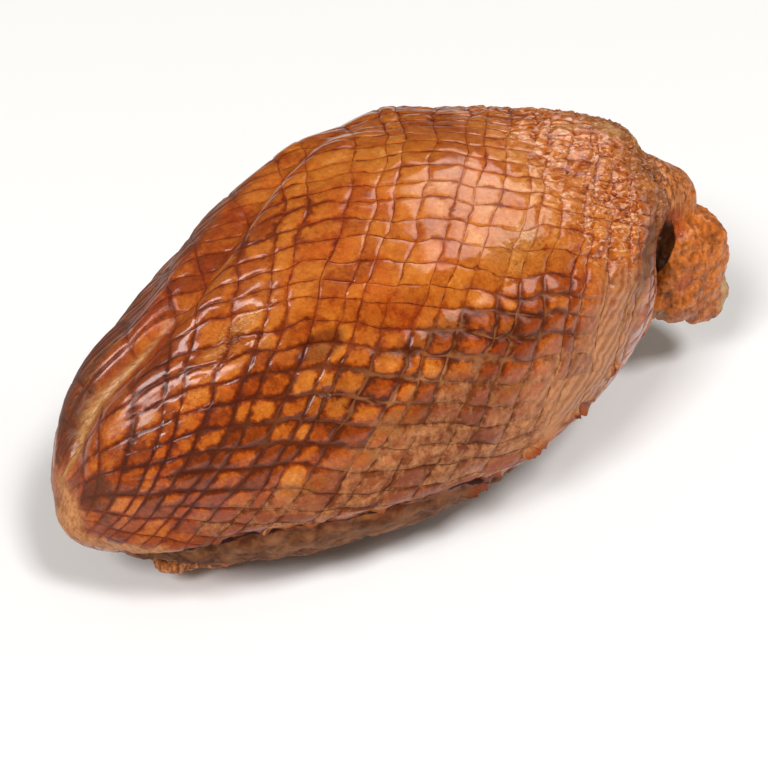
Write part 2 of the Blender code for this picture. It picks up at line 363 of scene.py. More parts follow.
PATCHES: dict[Zone, tuple[Patch, ...]] = {
    # Golden skin, lighter in tone; the patch at station 45 on the lobe paints highlight there.
    Zone.GOLD_AND_HIGHLIGHT: (
        Patch(100, 76, 27, 40, 0.7), Patch(64, 114, 15, 15, 0.15), Patch(84, 108, 18, 24, 0.3),
        Patch(71, 70, 7, 7, 0.6), Patch(33, 48, 6, 8, 0.5), Patch(94, 48, 24, 11), Patch(79, 53, 9, 8),
        Patch(45, 60, 9, 9, 0.8),
    ),
    Zone.DEEP: (
        Patch(77, 89, 7, 9, 0.6), Patch(69, 93, 6, 8, 0.4), Patch(61, 63, 5, 6, 0.5),
        Patch(42, 44, 25, 38, 0.9), Patch(90, 32, 20, 10, 0.9), Patch(66, 34, 15, 18),
    ),
    Zone.PALE: (
        Patch(62, -1, 20, 11), Patch(82, 6, 15, 16), Patch(104, -3, 20, 18), Patch(118, 6, 12, 18, 0.9),
        Patch(84, 22, 9, 7, 0.7), Patch(80, -8, 13, 7, 0.8), Patch(36, -24, 12, 9, 0.7),
    ),
    Zone.FLESHY: (
        Patch(84, 27, 7, 4, 0.4), Patch(61, 9, 5, 4), Patch(77, 20, 5, 5, 0.9), Patch(70, 13, 5, 4, 0.6),
        Patch(96, 14, 7, 4, 0.6), Patch(148, 18, 4, 14, 0.9),
    ),
    Zone.CRUMPLED: (Patch(130, 62, 16, 40), Patch(58, 71, 6, 9, 0.5), Patch(132, 110, 14, 24, 0.8)),
    Zone.WRINKLED: (
        Patch(106, 47, 7, 8), Patch(58, 70, 9, 9, 0.9), Patch(44, 62, 14, 20, 0.6),
        Patch(112, 112, 12, 12, 0.6),
    ),
    Zone.CRAGGY: (Patch(154, 62, 13, 50), Patch(148, 98, 11, 20, 0.8)),
    # A dull brown film; on the far side it is also painted shade, darkening skin that faces away from the key
    # lights.
    Zone.FILM_AND_SHADE: (
        Patch(39, 66, 10, 14, 0.35), Patch(57, 72, 6, 7, 0.4), Patch(44, 150, 22, 18, 0.9),
        Patch(32, 126, 17, 14, 0.95), Patch(88, 145, 30, 20, 0.5), Patch(20, 44, 7, 20, 0.8),
        Patch(22, 122, 9, 12, 0.8), Patch(66, 92, 9, 6, 0.3), Patch(62, 124, 22, 13, 0.65),
    ),
    # Darker patches, placed one by one, which take a dull purple-brown tint.
    Zone.DARKENED: (
        Patch(69, 51, 4.5, 4.5), Patch(86, 39, 10, 4, 0.6), Patch(62, 47, 6, 5, 0.2),
        Patch(98, 31, 6, 5, 0.4), Patch(68, 34, 10, 11, 0.45), Patch(60, 62, 5, 4, 0.4),
    ),
    Zone.TAIL: (Patch(4, 0, 10, 400), Patch(22, -34, 13, 16, 0.95), Patch(33, -26, 9, 9, 0.6)),
    Zone.KERNELS: (Patch(93, 30, 17, 11), Patch(66, 34, 14, 12, 0.4), Patch(76, 30, 8, 8, 0.7)),
    Zone.RIDGED: (Patch(123, 12, 9, 19), Patch(113, -8, 8, 12, 0.8), Patch(106, 5, 9, 10, 0.5)),
    Zone.RAGGED: (
        Patch(113, -14, 5, 2.6, 0.95, 8), Patch(103, -18, 3, 2.2, 0.9), Patch(121, -9, 3, 2.0, 0.8, 20),
        Patch(95, -27, 4, 2.8, 0.9, 20), Patch(131, 0, 3, 1.8, 0.7, 30),
    ),
    Zone.SOFT: (
        Patch(61, 62, 6, 4, 0.6), Patch(50, 99, 16, 9, 0.95), Patch(64, 122, 22, 16, 0.9),
        Patch(28, 74, 8, 16, 0.8), Patch(60, 20, 16, 14, 0.5), Patch(30, -4, 14, 12, 0.8),
        Patch(46, -15, 20, 8, 0.9), Patch(76, -16, 24, 7, 0.95), Patch(106, -14, 14, 9, 0.8),
    ),
}
CREAM_STREAKS = (
    Patch(143, 84, 3.2, 6, 1.0, 20),
    Patch(151, 82, 2.6, 7, 1.0, 20),
    Patch(134, 88, 4, 2, 0.7),
    Patch(105, 51, 7, 4, 0.3),
)
BARE_STRIP = Patch(138, 22, 14, 7, 0.95, 51)


@dataclass(frozen=True)
class Pit:
    """A small blister hole in the skin, at a station and an angle in degrees."""

    station: float
    angle: float
    radius: float
    depth: float


PITS = (
    Pit(49, 55.5, 0.0016, 0.0012),
    Pit(67, 37.5, 0.0020, 0.0014),
    Pit(147, 79, 0.0022, 0.0030),
    Pit(84, 150, 0.0018, 0.0012),
)


# ------------------------------------- Node trees -------------------------------------


@dataclass(frozen=True)
class Noise:
    """The look of a noise texture, with how far it is stretched on each axis and turned about Z."""

    scale: "float | Wire"
    detail: float = 2.0
    rough: float = 0.5
    warp: float = 0.0
    stretch: tuple[float, float, float] | None = None
    turn: float = 0.0


RIDGE_SPACING = 0.0040
RIDGE_SWAYS = ((Noise(75.0), 0.0060), (Noise(300.0), 0.0016))


@dataclass(frozen=True)
class Wire:
    """One output of a node. A sum, difference or product of wires adds the Math node that it stands for."""

    wiring: "Wiring"
    socket: Socket

    def __add__(self, other: object) -> "Wire":
        """The sum."""
        return self.wiring.math("ADD", self, other)

    def __mul__(self, other: object) -> "Wire":
        """The product."""
        return self.wiring.math("MULTIPLY", self, other)

    def __sub__(self, other: object) -> "Wire":
        """The difference."""
        return self.wiring.math("SUBTRACT", self, other)

    def __rsub__(self, other: object) -> "Wire":
        """The difference from a number."""
        return self.wiring.math("SUBTRACT", other, self)

    def __rtruediv__(self, other: object) -> "Wire":
        """A number divided by the wire."""
        return self.wiring.math("DIVIDE", other, self)

    def __abs__(self) -> "Wire":
        """The value without its sign."""
        return self.wiring.math("ABSOLUTE", self)

    __radd__, __rmul__ = __add__, __mul__

    def most(self, other: object) -> "Wire":
        """The larger of two values."""
        return self.wiring.math("MAXIMUM", self, other)

    def step(self, low: object, high: object, start: object = 0.0, end: object = 1.0) -> "Wire":
        """A smooth step from start at low to end at high."""
        inputs = {"Value": self, "From Min": low, "From Max": high, "To Min": start, "To Max": end}
        return self.wiring.wire("ShaderNodeMapRange", inputs, interpolation_type="SMOOTHSTEP")

    def without(self, masks: dict[str, "Wire"], shares: Shares) -> "Wire":
        """The value, less in each mask by that mask's share."""
        result = self
        for name, share in shares:
            result = result * (1.0 - masks[name] * share)
        return result


class Wiring:
    """Adds nodes to a node tree and joins them, so that a tree reads as a list of steps."""

    def __init__(self, tree: Tree) -> None:
        """Starts work on a tree."""
        self.tree = tree

    def add(self, kind: str, inputs: dict[str | int, object] | None = None, **settings: object) -> Node:
        """Adds one node.

        Args:
            kind: the node's type name.
            inputs: values or wires for its inputs, by name or number.
            settings: the node's own properties.

        Returns:
            The new node.
        """
        node = self.tree.nodes.new(kind)
        for name, value in settings.items():
            setattr(node, name, value)
        for name, value in (inputs or {}).items():
            self.feed(node.inputs[name], value)
        return node

    def wire(
        self,
        kind: str,
        inputs: dict[str | int, object] | None = None,
        output: str | int = 0,
        **settings: object,
    ) -> Wire:
        """Adds one node and gives one of its outputs."""
        return Wire(self, self.add(kind, inputs, **settings).outputs[output])

    def feed(self, socket: Socket, value: object) -> None:
        """Links a wire to a socket, or sets the socket's value."""
        if isinstance(value, Wire):
            self.tree.links.new(value.socket, socket)
        elif socket.type == "RGBA":
            socket.default_value = (*value, 1)
        else:
            socket.default_value = value

    def math(self, operation: str, *values: object) -> Wire:
        """A Math node's result."""
        return self.wire("ShaderNodeMath", dict(enumerate(values)), operation=operation)

    def vector(self, operation: str, *values: object) -> Wire:
        """A Vector Math node's result."""
        return self.wire("ShaderNodeVectorMath", dict(enumerate(values)), operation=operation)

    def blend(self, share: object, one: object, two: object, how: str = "MIX") -> Wire:
        """Two colours mixed, or with how as MULTIPLY the first one tinted by the second."""
        return self.wire("ShaderNodeMix", {0: share, 6: one, 7: two}, 2, data_type="RGBA", blend_type=how)

    def tint(self, share: object, one: object, two: object) -> Wire:
        """A colour multiplied by another, in part."""
        return self.blend(share, one, two, "MULTIPLY")

    def noise(self, place: Wire, look: Noise, output: str | int = 0) -> Wire:
        """A noise texture's value, from 0 to 1."""
        if look.stretch:
            turn = {"Vector": place, "Angle": look.turn}
            place = self.wire("ShaderNodeVectorRotate", turn, rotation_type="Z_AXIS")
            place = self.vector("MULTIPLY", place, look.stretch)
        inputs = {"Vector": place, "Scale": look.scale, "Detail": look.detail}
        inputs |= {"Roughness": look.rough, "Distortion": look.warp}
        return self.wire("ShaderNodeTexNoise", inputs, output)

    def ridges(self, phase: Wire, place: Wire) -> Wire:
        """Uneven parallel ridges, from 1 on their crests to -1 between them."""
        for look, sway in RIDGE_SWAYS:
            phase = phase + self.noise(place, look) * sway
        return self.math("COSINE", phase * (2 * math.pi / RIDGE_SPACING))

    def ramp(self, value: Wire, stops: tuple[tuple[float, Colour], ...]) -> Wire:
        """A colour ramp's colour."""
        node = self.add("ShaderNodeValToRGB", {"Fac": value})
        elements = node.color_ramp.elements
        while len(elements) < len(stops):
            elements.new(0.5)
        for element, (place, colour) in zip(elements, stops):
            element.position = place
            element.color = (*colour, 1)
        return Wire(self, node.outputs[0])

    def lower(self, entry: Node, exit_node: Node, drop: Wire, hollow_shade: Wire, table: bool) -> None:
        """Ends a geometry tree: sinks the surface along its normals and gives it its material.

        Args:
            entry: the tree's input node.
            exit_node: the tree's output node.
            drop: how far the surface sinks, in metres.
            hollow_shade: how deep each place lies in a dent, which the mesh keeps as its crevice_shade mask;
                the finishes darken it there as painted shade.
            table: whether the surface is kept above the table.
        """
        normal = self.wire("GeometryNodeInputNormal")
        offset = self.wire("ShaderNodeVectorMath", {0: normal, "Scale": drop * -1.0}, operation="SCALE")
        whole = Wire(self, entry.outputs["Geometry"])
        kept = {"Geometry": whole, "Name": "crevice_shade", "Value": hollow_shade}
        whole = self.wire("GeometryNodeStoreNamedAttribute", kept, data_type="FLOAT", domain="POINT")
        whole = self.wire("GeometryNodeSetPosition", {"Geometry": whole, "Offset": offset})
        if table:
            split = self.add("ShaderNodeSeparateXYZ", {0: self.wire("GeometryNodeInputPosition")})
            x, y, z = (Wire(self, output) for output in split.outputs)
            held = self.wire("ShaderNodeCombineXYZ", {0: x, 1: y, 2: z.most(0.0)})
            whole = self.wire("GeometryNodeSetPosition", {"Geometry": whole, "Position": held})
        whole = self.wire("GeometryNodeRealizeInstances", {"Geometry": whole})
        paint = Wire(self, entry.outputs["Material"])
        whole = self.wire("GeometryNodeSetMaterial", {"Geometry": whole, "Material": paint})
        self.feed(exit_node.inputs[0], whole)


def new_group(
    name: str, kind: str, inputs: dict[str, str], outputs: dict[str, str]
) -> tuple[Wiring, Node, Node]:
    """A node group with named sockets.

    Args:
        name: the group's name.
        kind: Shader or Geometry.
        inputs: kinds of sockets, such as Float, by name.
        outputs: kinds of sockets by name.

    Returns:
        The group's wiring, its input node and its output node.
    """
    tree = bpy.data.node_groups.new(name, f"{kind}NodeTree")
    for way, sockets in (("INPUT", inputs), ("OUTPUT", outputs)):
        for label, socket_kind in sockets.items():
            tree.interface.new_socket(label, in_out=way, socket_type=f"NodeSocket{socket_kind}")
    wiring = Wiring(tree)
    return wiring, wiring.add("NodeGroupInput"), wiring.add("NodeGroupOutput")


def settle(body: Object, tree: Tree, values: dict[str, object]) -> None:
    """Runs a geometry tree on an object once, and keeps the plain mesh that it gives.

    Args:
        body: the object.
        tree: the geometry node tree.
        values: the tree's inputs, by name.
    """
    modifier = body.modifiers.new(tree.name, "NODES")
    modifier.node_group = tree
    for item in tree.interface.items_tree:
        if item.in_out == "INPUT" and item.name in values:
            modifier[item.identifier] = values[item.name]
    bpy.context.view_layer.update()
    evaluated = body.evaluated_get(bpy.context.evaluated_depsgraph_get())
    plain = bpy.data.meshes.new_from_object(evaluated)
    body.modifiers.remove(modifier)
    old = body.data
    body.data = plain
    plain.name = body.name
    bpy.data.meshes.remove(old)


def mesh_object(name: str, points: Array, faces: Array | list, masks: dict[str, Array]) -> Object:
    """A smooth-shaded object in the scene, with its masks as attributes.

    Args:
        name: the object's name.
        points: its vertices, in metres.
        faces: its faces, as vertex numbers.
        masks: one number for each vertex, by the attribute's name.

    Returns:
        The object.
    """
    mesh = bpy.data.meshes.new(name)
    mesh.from_pydata([tuple(p) for p in points], [], [tuple(int(i) for i in f) for f in faces])
    mesh.polygons.foreach_set("use_smooth", np.ones(len(mesh.polygons), bool))
    for label, values in masks.items():
        made = mesh.attributes.new(label, "FLOAT", "POINT")
        made.data.foreach_set("value", np.ascontiguousarray(values, np.float32).ravel())
    mesh.update()
    body = bpy.data.objects.new(name, mesh)
    bpy.context.scene.collection.objects.link(body)
    return body


# ------------------------------------- Finishes -------------------------------------


SPOT_MASKS = ("gristle", "olive", "raw_red", "crusted")
SHARED_VALUES = {"Metallic": 0.0, "Specular IOR Level": 0.10, "Subsurface Radius": (1.0, 0.35, 0.12)}


def grain_group() -> Tree:
    """The fine grain that smoke and heat give to skin and meat alike.

    Returns:
        A shader group. Speckle is a mask of small dark flecks, Mottle a slow unevenness, and Grain a height.
    """
    inputs = {"Place": "Vector", "Fleck Size": "Float", "Mottle Size": "Float"}
    outputs = {"Speckle": "Float", "Mottle": "Float", "Grain": "Float"}
    wiring, entry, exit_node = new_group("smoke_grain", "Shader", inputs, outputs)
    place, fleck_size, mottle_size = (Wire(wiring, entry.outputs[name]) for name in inputs)
    looks = (
        Noise(1.0 / fleck_size, 3.0, 0.6),
        Noise(1.0 / mottle_size, 4.0, 0.55, 0.6),
        Noise(1900.0, 3.0, 0.6),
    )
    fleck, mottle, fine = (wiring.noise(place, look) for look in looks)
    results = (fleck.step(0.58, 0.70), mottle, fleck * 0.6 + fine * 0.4)
    for name, value in zip(outputs, results):
        wiring.feed(exit_node.inputs[name], value)
    return wiring.tree


class Surface:
    """A new material, and what it reads of the surface: its place, its masks and the smoke grain."""

    def __init__(
        self, name: str, masks: list[str], grain: Tree, fleck_size: float, mottle_size: float
    ) -> None:
        """Starts a material.

        Args:
            name: the material's name.
            masks: the names of the masks that it reads from the mesh.
            grain: the shared smoke grain group.
            fleck_size: the size of the grain's flecks, in metres.
            mottle_size: the size of the grain's mottling, in metres.
        """
        self.material = bpy.data.materials.new(name)
        self.material.use_nodes = True
        self.shader = self.material.node_tree.nodes["Principled BSDF"]
        self.wiring = Wiring(self.material.node_tree)
        self.place = self.wiring.wire("ShaderNodeTexCoord", output="Object")
        kind = "ShaderNodeAttribute"
        self.masks = {mask: self.wiring.wire(kind, None, "Fac", attribute_name=mask) for mask in masks}
        sizes = {"Place": self.place, "Fleck Size": fleck_size, "Mottle Size": mottle_size}
        smoke = self.wiring.add("ShaderNodeGroup", sizes, node_tree=grain)
        outputs = (Wire(self.wiring, smoke.outputs[output]) for output in ("Speckle", "Mottle", "Grain"))
        self.speckle, self.mottle, self.grain = outputs

    def noise(self, look: Noise) -> Wire:
        """A noise over the surface, from 0 to 1."""
        return self.wiring.noise(self.place, look)

    def painted(self, colour: Wire, layers: list[tuple[Wire, object]]) -> Wire:
        """A colour with others laid over it in turn, each by its own share."""
        for share, paint in layers:
            colour = self.wiring.blend(share, colour, paint)
        return colour

    def finish(self, results: dict[str, object], height: Wire, strength: float) -> Material:
        """Joins the material up.

        Args:
            results: values and wires by the names of the shader's inputs.
            height: the fine relief, in metres.
            strength: how much of it shows.

        Returns:
            The material.
        """
        bump = self.wiring.wire("ShaderNodeBump", {"Height": height, "Strength": strength, "Distance": 1.0})
        for name, value in {**results, **SHARED_VALUES, "Normal": bump}.items():
            self.wiring.feed(self.shader.inputs[name], value)
        return self.material


@dataclass(frozen=True)
class SmokedSkin:
    """The netted skin: amber under a wet glaze, pale and matte low down, dark along the net's lines."""

    name: str = "smoked_skin"
    amber: tuple[tuple[float, Colour], ...] = (
        (0.00, (0.085, 0.014, 0.002)),
        (0.22, (0.150, 0.024, 0.002)),
        (0.45, (0.270, 0.045, 0.003)),
        (0.65, (0.430, 0.106, 0.008)),
        (0.82, (0.540, 0.165, 0.018)),
        (1.00, (0.650, 0.270, 0.060)),
    )
    pale: tuple[Colour, Colour] = ((0.130, 0.032, 0.008), (0.540, 0.250, 0.104))
    cream: tuple[Colour, Colour] = ((0.290, 0.110, 0.034), (0.540, 0.280, 0.100))
    tail: tuple[Colour, Colour] = ((0.290, 0.090, 0.024), (0.600, 0.285, 0.110))
    # Ridged skin, lighter on the ridges' crests and darker between them: painted highlight and shade.
    ridge_light_and_shade: tuple[Colour, Colour] = ((0.240, 0.085, 0.034), (0.540, 0.250, 0.120))
    crag: tuple[Colour, Colour] = ((0.150, 0.034, 0.006), (0.620, 0.210, 0.045))
    flesh: tuple[Colour, Colour] = ((0.060, 0.018, 0.007), (0.240, 0.100, 0.042))
    fleshy: Colour = (0.270, 0.088, 0.020)
    # A dull brown film, and on the far side painted shade.
    film: Colour = (0.090, 0.033, 0.017)
    line: Colour = (0.42, 0.22, 0.16)
    pale_line: Colour = (0.50, 0.38, 0.30)
    crack: Colour = (0.50, 0.30, 0.24)
    dark_tint: Colour = (0.30, 0.20, 0.22)
    ragged_bit: Colour = (0.270, 0.050, 0.010)
    # Pale pink flecks laid over crumpled and craggy skin: painted glints.
    painted_glint: Colour = (0.920, 0.540, 0.330)
    redder: Colour = (1.00, 0.66, 0.45)
    thread: Colour = (0.430, 0.165, 0.058)
    # Near black painted shade for the seam's crease and the gap beside the joint.
    seam_shade: Colour = (0.045, 0.010, 0.004)
    rag: Noise = Noise(150.0, 3.0, 0.6)
    streak: Noise = Noise(170.0, 5.0, 0.62, 0.3, (0.35, 5.5, 2.4), 0.30)
    crinkle: Noise = Noise(250.0, 4.0, 0.62, 0.9, (1.0, 2.4, 1.6), 0.9)
    fine_wrinkle: Noise = Noise(420.0, 4.0, 0.62, 0.8, (1.0, 2.6, 1.6), 0.5)
    line_wander: Noise = Noise(230.0, 3.0, 0.6)
    line_thickness: Noise = Noise(60.0, 3.0, 0.6)
    line_gaps: Noise = Noise(95.0, 3.0, 0.6)
    broad_tone: Noise = Noise(24.0, 2.0, 0.5, 0.4)
    small_tone: Noise = Noise(320.0, 3.0, 0.6)
    tiny_tone: Noise = Noise(900.0, 3.0, 0.65)
    redness: Noise = Noise(42.0, 3.0, 0.6, 0.5)
    fine: Noise = Noise(330.0, 5.0, 0.7)
    # Where the painted glints fall.
    glint_noise: Noise = Noise(330.0, 3.0, 0.6, 0.6, (0.8, 2.2, 1.7), 0.3)
    tear: Noise = Noise(75.0, 5.0, 0.65)
    carried: tuple[str, ...] = (
        "dome", "crevice_shade", "to_strand", "to_hoop", "cell_tone", "net_fade", "slot_shade", "ridge_phase",
    )
    matte_shares: Shares = (
        ("pale", 0.9), ("craggy", 0.25), ("tail", 0.75), ("fleshy", 0.9), ("film", 0.95), ("keel_fat", 0.8),
        ("kernels", 0.7), ("soft", 0.8), ("ragged", 0.5),
    )
    line_losses: Shares = (
        ("bare", 0.95), ("craggy", 0.95), ("film", 0.6), ("keel_fat", 1.0), ("crumpled", 0.3),
        ("deep", 0.60), ("kernels", 0.5), ("soft", 0.55), ("tail", 0.8),
    )
    base_tone: float = 0.510
    # Crumpled skin is lifted in tone: partly its own brighter amber, partly painted light on skin that faces
    # away from the key lights.
    tone_weights: Shares = (
        ("broad", 0.66), ("mottle", 0.44), ("small", 0.42), ("tiny", 0.36), ("speckle", -0.07),
        ("gold", 0.24), ("crumpled", 0.78),
    )
    fleck_size: float = 0.0022
    mottle_size: float = 0.0085
    grain_height: float = 0.00006
    line_depth: float = 0.00018
    crack_depth: float = 0.00016
    streak_height: float = 0.0006
    fine_height: float = 0.00028
    fine_heights: Shares = (("wrinkled", 0.0009), ("crumpled", 0.0012), ("craggy", 0.0014))

    def make(self, grain: Tree) -> Material:
        """Builds the material.

        Args:
            grain: the shared smoke grain group.

        Returns:
            The material.
        """
        masks = [zone.value for zone in Zone] + list(self.carried)
        on = Surface(self.name, masks, grain, self.fleck_size, self.mottle_size)
        read, mottle = on.masks, on.mottle
        ragged = on.noise(self.rag) - 0.5
        cell = read["cell_tone"] - 0.5
        patchy = ragged * 0.60 + cell * 0.12
        edge = {
            zone.value: (read[zone.value] + patchy).step(0.22, 0.78) * read[zone.value].step(0.0, 0.15)
            for zone in Zone
        }
        streaks = on.noise(self.streak)
        cracked = 0.36 + read["wrinkled"] * 0.45 + read["crumpled"] * 0.40
        crack = abs(on.noise(self.crinkle) - 0.5).step(0.0, 0.030, 1.0, 0.0) * cracked
        crack = crack * mottle.step(0.38, 0.58, 0.2, 1.0)

        line, nearest = self.net_lines(on)
        middles = (nearest + ragged * 0.003).step(0.0006, 0.0026, 0.34, -0.30)
        paling = read["pale"] + ragged * 0.50 + cell * 0.34 + middles
        edge["pale"] = paling.step(0.10, 0.98) * read["pale"].step(0.0, 0.30)
        colour = self.area_colours(on, self.amber_colour(on), edge, streaks)
        line_colour = on.wiring.blend(edge["pale"], self.line, self.pale_line)
        colour = on.wiring.tint(line, colour, line_colour)
        colour = on.wiring.tint(crack, colour, self.crack)
        rim = nearest.step(0.0, 0.0011, 1.0, 0.0) * read["kernels"] * mottle.step(0.36, 0.54)
        # Painted shade, near black, in the seam's crease under the skin's lip and in the gap where the skin
        # meets the joint.
        gap_shade = (read["seam"].most(read["slot_shade"]) + ragged * 1.6).step(0.45, 0.80)
        colour = on.painted(colour, [(rim * 0.58, self.thread), (gap_shade, self.seam_shade)])

        matte = read["bare"].most(gap_shade)
        for name, share in self.matte_shares:
            matte = matte.most(edge[name] * share)
        glaze = (1.0 - matte * 0.92) * mottle.step(0.25, 0.55, 0.60, 1.0)
        shy = (nearest + ragged * 0.0012).step(0.0002, 0.0013, 0.30, 1.0)
        results = {
            "Base Color": colour,
            "Roughness": 0.36 + matte * 0.24 + mottle * 0.16,
            "Coat Weight": glaze * shy.most(read["crumpled"]),
            "Coat Roughness": 0.17,
            "Coat IOR": 1.45,
            "Subsurface Weight": 0.06,
            "Subsurface Scale": 0.003,
        }
        fine_height = self.fine_height + sum(read[name] * size for name, size in self.fine_heights)
        height = on.grain * self.grain_height - line * self.line_depth - crack * self.crack_depth
        height = height + on.noise(self.fine_wrinkle) * fine_height
        height = height + read["keel_fat"].most(read["film"]) * (streaks * self.streak_height)
        return on.finish(results, height, 0.85)

    def net_lines(self, on: Surface) -> tuple[Wire, Wire]:
        """The net's thin dark lines.

        Args:
            on: the material's surface.

        Returns:
            The mask of the lines as far as they show, and the distance to the nearest line.
        """
        wander = (on.noise(self.line_wander) - 0.5) * 0.0014
        thick = on.noise(self.line_thickness).step(0.30, 0.70, 0.00022, 0.00080)
        strand_gap = abs(on.masks["to_strand"] + wander) + on.masks["ridged"] * 0.004
        nearest = on.wiring.math("MINIMUM", strand_gap, abs(on.masks["to_hoop"] - wander))
        seen = on.noise(self.line_gaps).step(0.22, 0.50, 0.35, 1.0) * on.masks["net_fade"]
        return nearest.step(0.0, thick, 1.0, 0.0) * seen.without(on.masks, self.line_losses), nearest

    def amber_colour(self, on: Surface) -> Wire:
        """The amber of the glazed skin, with painted light and shade: golden on the cells' crowns, darker
        toward their rims and near black in the hollows.

        Args:
            on: the material's surface.

        Returns:
            The colour.
        """
        names = ("dome", "deep", "kernels", "crumpled", "crevice_shade")
        dome, deep, kernels, crumpled, crevice_shade = (on.masks[name] for name in names)
        mottle, cell = on.mottle - 0.5, on.masks["cell_tone"] - 0.5
        looks = (self.broad_tone, self.small_tone, self.tiny_tone)
        broad, small, tiny = (on.noise(look) - 0.5 for look in looks)
        # Painted light and shade on each cell: lighter on its crown, darker toward its rim.
        crown = (dome + small * 1.3 + mottle * 0.6).step(0.05, deep * 0.20 + 0.64)
        rim_shade = 0.10 + on.masks["gold"] * -0.06 + kernels * 0.10 + deep * 0.24
        parts = {"broad": broad, "mottle": mottle, "small": small, "tiny": tiny}
        parts |= {"speckle": on.speckle, **on.masks}
        tone = self.base_tone + sum(parts[name] * weight for name, weight in self.tone_weights)
        # Kernel cells lighter on their domes and darker at their edges: painted light and shade.
        tone = tone + cell * (0.10 + dome * 0.18 + deep * 0.16) + kernels * (dome * 0.22 - 0.12)
        tone = tone + deep * (crown * 0.24 - 0.26) - (1.0 - crown) * rim_shade
        # Painted shade: darker in the hollows of the relief, most of all in crumpled skin.
        tone = tone + crevice_shade * (crumpled * -0.62 - 0.18)
        redder = on.noise(self.redness).step(0.50, 0.64, 0.0, 0.55)
        return on.wiring.tint(redder.most(crumpled * 0.7), on.wiring.ramp(tone, self.amber), self.redder)

    def area_colours(self, on: Surface, colour: Wire, edge: dict[str, Wire], streaks: Wire) -> Wire:
        """Lays the other areas' colours over the amber.

        Args:
            on: the material's surface.
            colour: the amber.
            edge: the zones' masks with ragged edges, by name.
            streaks: fine streaks along the body.

        Returns:
            The colour of the whole skin.
        """
        read, mottle, blend = on.masks, on.mottle, on.wiring.blend
        fine, glint_noise = on.noise(self.fine), on.noise(self.glint_noise)
        torn = on.noise(self.tear).step(0.32, 0.68)
        pale = mottle * 1.9 + read["cell_tone"] * 0.60 + fine * 2.8
        pale = pale + read["ridged"] * 1.1 + read["soft"] * 0.5 - 2.50
        # Painted highlight on the ridges' crests, painted shade between them.
        ridge_light_and_shade = on.wiring.ridges(read["ridge_phase"], on.place) + fine * 2.4 - 1.2
        ridge_light_and_shade = ridge_light_and_shade.step(-0.8, 0.8) * (mottle + 0.35)
        # Crags darker in their hollows: painted shade.
        crags = blend(mottle * 2.2 - 0.35 - read["crevice_shade"] * 0.9, *self.crag)
        # Painted glints over the craggy skin.
        crags = blend(glint_noise.step(0.54, 0.62, 0.0, 0.45), crags, self.painted_glint)
        layers = [
            # Painted glints over the crumpled skin.
            (edge["crumpled"] * glint_noise.step(0.54, 0.60, 0.0, 0.62), self.painted_glint),
            (edge["pale"] * 0.86, blend(pale, *self.pale)),
            (edge["fleshy"] * fine.step(0.38, 0.60, 0.10, 0.75), self.fleshy),
            (edge["ridged"] * 0.60, blend(ridge_light_and_shade, *self.ridge_light_and_shade)),
            # The film, and painted shade on the far side.
            (edge["film"] * streaks.step(0.40, 0.60, 0.40, 0.95), self.film),
            (edge["tail"] * 0.85, blend((streaks * 0.5 + mottle * 0.5).step(0.36, 0.62), *self.tail)),
            (edge["craggy"] * 0.85, crags),
            (read["keel_fat"] * 0.95, blend(streaks.step(0.35, 0.62), *self.cream)),
            (read["bare"] * 0.95, blend(torn, *self.flesh)),
            (edge["ragged"] * 0.9, self.ragged_bit),
        ]
        return on.wiring.tint(edge["scorched"] * 0.8, on.painted(colour, layers), self.dark_tint)


